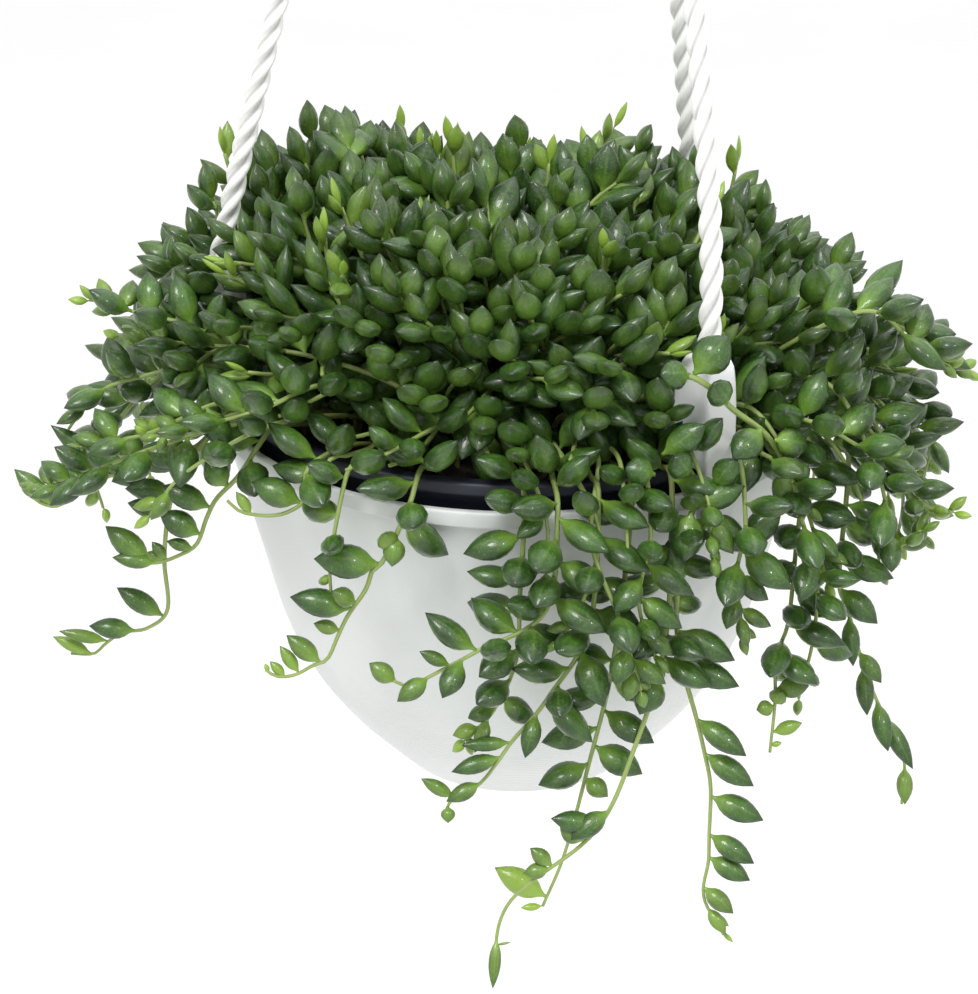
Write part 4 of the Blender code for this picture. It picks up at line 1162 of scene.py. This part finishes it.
def route_of(number, outside):
    """A trailing stem's route: out of the soil, over the rims, then its points outside."""
    azimuth = math.degrees(math.atan2(outside[0][1], outside[0][0]))
    ring = STEM_RING[number % 2]
    inner, outer = CREST_RADII
    return [polar(ring, azimuth, SOIL_TOP - 4), polar(ring, azimuth, SOIL_TOP + 1.6),
            polar(ring + 6, azimuth, CREST - 3.6), polar(inner, azimuth, CREST),
            polar(outer, azimuth, CREST + 0.6), *(Vector(p) for p in outside)]


def hidden_route(azimuth, reach, drop, drift):
    """Outside points of a stem that goes over the rim and hangs."""
    rim = POT_RIM_RADIUS
    return (polar(rim + 0.42 * reach, azimuth + 0.2 * drift, CREST + 1.5),
            polar(rim + 0.85 * reach, azimuth + 0.5 * drift, -0.18 * drop),
            polar(rim + reach, azimuth + 0.8 * drift, -0.60 * drop),
            polar(rim + 0.95 * reach, azimuth + drift, -drop))


def trail_routes():
    """Every trailing stem's route by name."""
    outside = dict(TRAILS)
    for k, numbers in enumerate(HIDDEN):
        outside[f"side_{k + 1:02d}"] = hidden_route(*numbers)
    return {name: route_of(k, points) for k, (name, points) in enumerate(outside.items())}


def set_leaves(mesher, draw, line, rows, lime):
    """The leaves of a stem that are placed one by one, from its tip back."""
    looks = bpy.context.scene.pearl_leaf
    length = lengths_along(line)
    for back, *way, width in rows:
        base = np.array([np.interp(length[-1] - back, length, line[:, k]) for k in range(3)])
        way = np.array(way, float)
        size = float(np.linalg.norm(way))
        heading = way / size
        room.take(base + way * SET_BODY[0], base + way * SET_BODY[1], width / 2 * 0.8)
        up = np.array((0.0, -0.9, 0.8))
        youth = lime * max(0.0, 1.0 - back / 24, 1.0 - size / (looks.length / MM * 0.75))
        add_leaf(mesher, base, heading, up, size * 1.06, width * 1.04, 0.45 + 0.5 * draw.random(),
                 youth, draw.uniform(-0.04, 0.05))


def grow_trail(mesher, draw, line, bare, first=TRAIL_FIRST, lime=1.0):
    """Leaves along a stem from near its tip back to where it is bare, and the stem itself."""
    looks = bpy.context.scene.pearl_leaf
    full, broad = looks.length / MM, looks.width / MM
    ahead = directions_along(line)
    length = lengths_along(line)
    total = length[-1]
    radii = np.interp(length, [0, total * 0.5, total], [0.85, 0.72, 0.45])
    add_tube(mesher, line, radii, 7, STEM_SLOT, stem_marks(line, total, 0.1, 1.0))
    back, number = first, 0
    angle = draw.uniform(0, 6.28)
    while back < total - bare:
        k = int(np.searchsorted(length, total - back))
        k = min(max(k, 0), len(line) - 1)
        grown = min(1.0, 0.36 + 0.64 * back / TRAIL_GROWN)
        youth = lime * max(0.0, 1.0 - back / TRAIL_LIME)
        lean = math.radians(20 + 44 * min(1.0, back / TRAIL_GROWN) + draw.uniform(-12, 12))
        out = upward(line[k], ahead[k])
        long = full * grown * draw.uniform(0.88, 1.12)
        wide = broad * grown * draw.uniform(0.88, 1.08)
        if back < 2:
            lean *= 0.3
        base = line[k] + direction(ahead[k], out, angle, ROOT_LEAN) * radii[k] * 0.5
        try_leaf(mesher, draw, base, ahead[k], out, angle, lean, long, wide,
                 0.25 + 0.75 * draw.random(), youth, TRAIL_SQUEEZE)
        swing = draw.uniform(0.6, 1.45)
        angle = (swing if number % 2 else -swing) + draw.uniform(-0.35, 0.35)
        number += 1
        back += TRAIL_SPACING * (0.55 + 0.45 * min(1.0, back / 20)) * draw.uniform(0.85, 1.15)


def shoot_to(tip, azimuth, tilt):
    """A shoot from the soil to a tip, which it reaches at a tilt from upright."""
    radius = math.hypot(tip[0], tip[1])
    heading = np.array(polar(math.sin(tilt), azimuth, math.cos(tilt)))
    middle = math.degrees(math.atan2(tip[1], tip[0]))
    root = np.array(polar(min(0.62 * radius, 70), middle, SOIL_TOP - 3))
    rise = root + np.array((0, 0, 20 + 0.12 * radius))
    bend = np.asarray(tip) - heading * 30
    steps = np.linspace(0, 1, 15)[:, None]
    line = ((1 - steps) ** 3 * root + 3 * steps * (1 - steps) ** 2 * rise
            + 3 * steps ** 2 * (1 - steps) * bend + steps ** 3 * np.asarray(tip))
    out = np.hypot(line[:, 0], line[:, 1])
    over = (out > 76) & (out < 93)
    line[over, 2] = np.maximum(line[over, 2], CREST + 1.0)
    return smooth_line(line, 2.5)


def shoot_line(azimuth, share, draw, rise):
    """A shoot of the mound, from the soil to its tip at a share of the mound's reach."""
    fall = share ** MOUND_SHOULDER
    crown = level(MOUND_CROWN, azimuth) - MOUND_MIDDLE
    top = MOUND_MIDDLE + crown * min(1.0, share * 1.6)
    height = top * (1 - fall) + level(MOUND_EDGE, azimuth) * fall + draw.uniform(-6, 6) + rise
    tip = polar(level(MOUND_REACH, azimuth) * share, azimuth, height)
    slack = 14 + 26 * (1 - share ** 3)
    tilt = math.radians(max(4.0, 12 + 92 * share ** 2.6 + draw.uniform(-slack, slack)))
    spread = 85 - 45 * share
    return shoot_to(tip, azimuth + draw.uniform(-spread, spread), tilt)


def block_hanger():
    """Takes the clips' and ropes' room."""
    for place, azimuth in CLIP_AZIMUTHS.items():
        for radius in (83.0, 86.5, 90.0):
            for off in (-0.9, 0.9):
                room.take(polar(radius, azimuth + off, -12), polar(radius, azimuth + off, 34), 4.0)
        route = rope_points(place)[1:]
        for start, end in zip(route, route[1:]):
            room.take(start, end, ROPE_RADIUS + 0.3)


def build_trails():
    """Each trailing stem as its own piece."""
    draw = random.Random(SEED)
    block_hanger()
    lines = {name: smooth_line(route, 2.0) for name, route in trail_routes().items()}
    for line in lines.values():
        for a, b in zip(line[::4], line[4::4]):
            room.take(a, b, 0.3)
    for name, line in sorted(lines.items(), key=lambda item: item[0] not in SET_LEAVES):
        mesher = Mesher()
        bare = float(np.argmax(np.hypot(line[:, 0], line[:, 1]) > 75)) * 2.0
        rows = SET_LEAVES.get(name, ())
        lime = GREEN_YOUTH if name in GREEN_ENDS else 1.0
        set_leaves(mesher, draw, line, rows, lime)
        grow_trail(mesher, draw, line, bare, lime=lime,
                   first=max([TRAIL_FIRST, *(row[0] + 6.0 for row in rows)]))
        piece = mesher.make("trailing_stem_" + name,
                            [finish_of("fleshy_leaf"), finish_of("young_stem")])
        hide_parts("stem_" + name)


def plan_shoot(wanted, mesher, line, lime, draw, spacing):
    """Adds a shoot's stem, and the leaves that it would grow to the list of those wanted."""
    looks = bpy.context.scene.pearl_leaf
    full, broad = looks.length / MM, looks.width / MM
    length = lengths_along(line)
    radii = np.interp(length, [0, length[-1]], [1.1, 0.6])
    add_tube(mesher, line, radii, 5, STEM_SLOT,
             stem_marks(line, length[-1], 0.0, 1.6 if lime else 0.7))
    ahead = directions_along(line)
    back = 0.5
    angle = draw.uniform(0, 6.28)
    for number in range(LEAVES_A_SHOOT):
        at = length[-1] - back
        if at < 6:
            break
        k = min(int(np.searchsorted(length, at)), len(line) - 1)
        if lime:
            grown, youth = min(1.0, 0.52 + 0.48 * back / 16), max(0.0, 1.0 - back / 14)
        else:
            grown, youth = min(1.0, 0.74 + 0.26 * back / 9), max(0.0, 0.12 - back / 60)
        slim = 0.50 + 0.50 * min(1.0, back / 14) if lime else 1.0
        lean = math.radians(22 + 24 * min(1.0, back / 15) + draw.uniform(-9, 9))
        wanted.append((back + draw.uniform(0, 5), mesher, line[k], ahead[k], radii[k],
                       angle, lean * (0.3 if number == 0 else 1.0),
                       full * grown * draw.uniform(0.92, 1.16),
                       broad * grown * slim * draw.uniform(1.00, 1.22), youth))
        angle += math.radians(GOLDEN_ANGLE)
        back += spacing * (0.55 + 0.45 * min(1.0, back / 14)) * draw.uniform(0.85, 1.15)


def cross_clip(mesher, draw):
    """The stem and leaves that lie over the front clip, which is clear of others in front."""
    azimuth = CLIP_AZIMUTHS["front"]
    start = azimuth - 12
    line = smooth_line([polar(60, start, SOIL_TOP - 3), polar(66, start, 16),
                        *(Vector(p) for p in CLIP_STEM)], 2.0)
    add_tube(mesher, line, np.linspace(0.95, 0.8, len(line)), 7, STEM_SLOT,
             stem_marks(line, 110, 0.1, 0.8))
    for row in CLIP_LEAVES:
        base, way, width = np.array(row[:3], float), np.array(row[3:6], float), row[6]
        size = float(np.linalg.norm(way))
        room.take(base + way * SET_BODY[0], base + way * SET_BODY[1], width / 2 * 0.7)
        add_leaf(mesher, base, way / size, (0.0, -0.9, 0.6), size * 1.05, width,
                 0.35 + 0.5 * draw.random(), 0.0, 0.03)
    room.take(polar(101, azimuth, 6), polar(101, azimuth, 33), 4.5)


def build_mound():
    """The dense middle as four pieces, the leaves nearest the shoots' tips grown first."""
    draw = random.Random(SEED + 1)
    quarters = {name: Mesher() for name in ("left", "front", "right", "rear")}

    def quarter_of(azimuth):
        return list(quarters.values())[int(((azimuth + 225) % 360) // 90)]

    cross_clip(quarters["front"], draw)
    for number, points in enumerate(SPRAYS):
        azimuth = math.degrees(math.atan2(points[0][1], points[0][0]))
        start = min(SPRAY_ROOT_RADIUS, 0.8 * math.hypot(points[0][0], points[0][1]))
        line = smooth_line([polar(start, azimuth, SOIL_TOP - 3), polar(start, azimuth, 7),
                            *(Vector(p) for p in points)], 2.0)
        nearest = np.argmin(np.linalg.norm(line - np.array(points[0]), axis=1))
        bare = max(0.0, float(nearest) * 2 - 14)
        grow_trail(quarter_of(azimuth), draw, line, bare,
                   lime=1.0 if number in LIMY_SPRAYS else GREEN_YOUTH)
    wanted = []
    for x, y, z, lean, lime in SPRIGS:
        azimuth = math.degrees(math.atan2(y, x))
        line = shoot_to((x, y, z), 0.0 if x > 0 else 180.0, lean)
        plan_shoot(wanted, quarter_of(azimuth), line, lime, draw, SPRIG_SPACING)
    for k in range(SHOOTS):
        share = ((k + 0.5) / SHOOTS) ** 0.44
        azimuth = (k * GOLDEN_ANGLE + 180) % 360 - 180
        lime = draw.random() < LIME_SHARE
        line = shoot_line(azimuth, share, draw, LIME_RISE if lime else 0.0)
        plan_shoot(wanted, quarter_of(azimuth), line, lime, draw,
                   LIME_SPACING if lime else TRAIL_SPACING)
    wanted.sort(key=lambda row: row[0])
    for _, mesher, base, along, radius, angle, lean, long, wide, youth in wanted:
        out = upward(base, along)
        root = base + direction(along, out, angle, ROOT_LEAN) * radius * 0.5
        try_leaf(mesher, draw, root, along, out, angle, lean, long, wide, 0.75 * draw.random(),
                 youth, MOUND_SQUEEZE, 0.12, MOUND_PLUMP)
    for name, mesher in quarters.items():
        piece = mesher.make("leafy_mound_" + name,
                            [finish_of("fleshy_leaf"), finish_of("young_stem")])
        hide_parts("mound")


# Stage

def place_camera():
    """The camera that sees the rim's centre at its pixel, upright and with no shift."""
    rise = math.radians(CAMERA_RISE)
    right = (RIM_PIXEL[0] - IMAGE_WIDTH / 2) / FOCAL
    above = (IMAGE_HEIGHT / 2 - RIM_PIXEL[1]) / FOCAL
    reach = math.sqrt(1 + right ** 2 + above ** 2)
    pitch = math.asin(-math.sin(rise) * reach / math.sqrt(1 + above ** 2)) - math.atan(above)
    yaw = math.atan2(-right, math.cos(pitch) - above * math.sin(pitch))
    data = bpy.data.cameras.new("camera")
    data.lens = FOCAL / IMAGE_HEIGHT * data.sensor_width
    data.clip_start = 0.05
    data.clip_end = 100
    camera = new_object("camera", data)
    back = Vector((0, -math.cos(rise), math.sin(rise)))
    camera.location = RIM + back * CAMERA_DISTANCE
    camera.rotation_euler = (math.pi / 2 + pitch, 0, -yaw)
    bpy.context.scene.camera = camera


def place_light(name, where, aim, size, power):
    """A soft square light that faces a point."""
    data = bpy.data.lights.new(name, "AREA")
    data.shape = "SQUARE"
    data.size = size
    data.energy = power
    lamp = new_object(name, data)
    lamp.location = where
    lamp.rotation_euler = (aim - lamp.location).to_track_quat("-Z", "Y").to_euler()


def build_stage():
    """A wide pale floor, a white sky, two broad lights and a small one."""
    bpy.context.scene.view_settings.view_transform = "Standard"
    world = bpy.data.worlds.new("pale_studio")
    bpy.context.scene.world = world
    world.use_nodes = True
    sky = world.node_tree.nodes["Background"]
    sky.inputs["Color"].default_value = (1.0, 1.0, 1.0, 1.0)
    sky.inputs["Strength"].default_value = 0.98
    bm = bmesh.new()
    bmesh.ops.create_grid(bm, x_segments=2, y_segments=2, size=FLOOR_REACH)
    mesh = bpy.data.meshes.new("studio_floor")
    bm.to_mesh(mesh)
    bm.free()
    mesh.materials.append(finish_of("pale_floor"))
    floor = new_object("studio_floor", mesh)
    floor.location = (0, 0, -FLOOR_BELOW_HOOK)
    place_light("key_light", Vector((-0.5, -1.1, 1.3)), RIM, 0.6, 26.0)
    place_light("top_light", Vector((0.5, 0.6, 1.5)), RIM, 1.6, 10.0)
    place_light("glint_light", Vector((0.8, -1.2, 0.9)), RIM, 0.12, 5.0)


# Operators and panel

class PEARLS_OT_stage(bpy.types.Operator):
    """Place the camera, the floor and the lights"""
    bl_idname = "pearls.stage"
    bl_label = "Stage"

    def execute(self, context):
        place_camera()
        build_stage()
        return {"FINISHED"}


class PEARLS_OT_ropes(bpy.types.Operator):
    """Twist the three ropes from their clips to the cap"""
    bl_idname = "pearls.ropes"
    bl_label = "Ropes"

    def execute(self, context):
        for place in CLIP_AZIMUTHS:
            build_rope(place)
        return {"FINISHED"}


class PEARLS_OT_clips(bpy.types.Operator):
    """Mould the three clips over the rims"""
    bl_idname = "pearls.clips"
    bl_label = "Clips"

    def execute(self, context):
        for place in CLIP_AZIMUTHS:
            build_clip(place)
        return {"FINISHED"}


class PEARLS_OT_hanger(bpy.types.Operator):
    """Mould the cap and the ring that hang on the hook"""
    bl_idname = "pearls.hanger"
    bl_label = "Cap and Ring"

    def execute(self, context):
        build_hanger_cap()
        return {"FINISHED"}


class PEARLS_OT_bowl(bpy.types.Operator):
    """Turn the white bowl"""
    bl_idname = "pearls.bowl"
    bl_label = "White Bowl"

    def execute(self, context):
        build_bowl()
        return {"FINISHED"}


class PEARLS_OT_liner(bpy.types.Operator):
    """Turn the nursery pot"""
    bl_idname = "pearls.liner"
    bl_label = "Nursery Pot"

    def execute(self, context):
        build_liner()
        return {"FINISHED"}


class PEARLS_OT_soil(bpy.types.Operator):
    """Fill the nursery pot with soil"""
    bl_idname = "pearls.soil"
    bl_label = "Soil"

    def execute(self, context):
        build_soil()
        return {"FINISHED"}


class PEARLS_OT_trails(bpy.types.Operator):
    """Grow the trailing stems with their leaves"""
    bl_idname = "pearls.trails"
    bl_label = "Trailing Stems"

    def execute(self, context):
        build_trails()
        return {"FINISHED"}


class PEARLS_OT_mound(bpy.types.Operator):
    """Grow the dense middle of the plant"""
    bl_idname = "pearls.mound"
    bl_label = "Mound"

    def execute(self, context):
        build_mound()
        return {"FINISHED"}


STEPS = (PEARLS_OT_stage, PEARLS_OT_ropes, PEARLS_OT_clips, PEARLS_OT_hanger, PEARLS_OT_bowl,
         PEARLS_OT_liner, PEARLS_OT_soil, PEARLS_OT_trails, PEARLS_OT_mound)


class PEARLS_PT_panel(bpy.types.Panel):
    """Lists the settings and the steps"""
    bl_idname = "PEARLS_PT_panel"
    bl_label = "String of Pearls"
    bl_space_type = "VIEW_3D"
    bl_region_type = "UI"
    bl_category = "Pearls"

    def draw(self, context):
        for group in (context.scene.pearl_leaf, context.scene.pearl_pot,
                      context.scene.pearl_hanger):
            for name in group.__annotations__:
                self.layout.prop(group, name)
        for step in STEPS:
            self.layout.operator(step.bl_idname)


SETTINGS = {"pearl_leaf": LeafLooks, "pearl_pot": PotLooks, "pearl_hanger": HangerLooks}


def register():
    for item in (*SETTINGS.values(), *STEPS, PEARLS_PT_panel):
        bpy.utils.register_class(item)
    for name, kind in SETTINGS.items():
        setattr(bpy.types.Scene, name, PointerProperty(type=kind))


def unregister():
    for name in SETTINGS:
        delattr(bpy.types.Scene, name)
    for item in reversed((*SETTINGS.values(), *STEPS, PEARLS_PT_panel)):
        bpy.utils.unregister_class(item)


def main():
    register()
    for step in STEPS:
        family, name = step.bl_idname.split(".")
        getattr(getattr(bpy.ops, family), name)()
    bpy.context.view_layer.update()


if __name__ == "__main__":
    main()
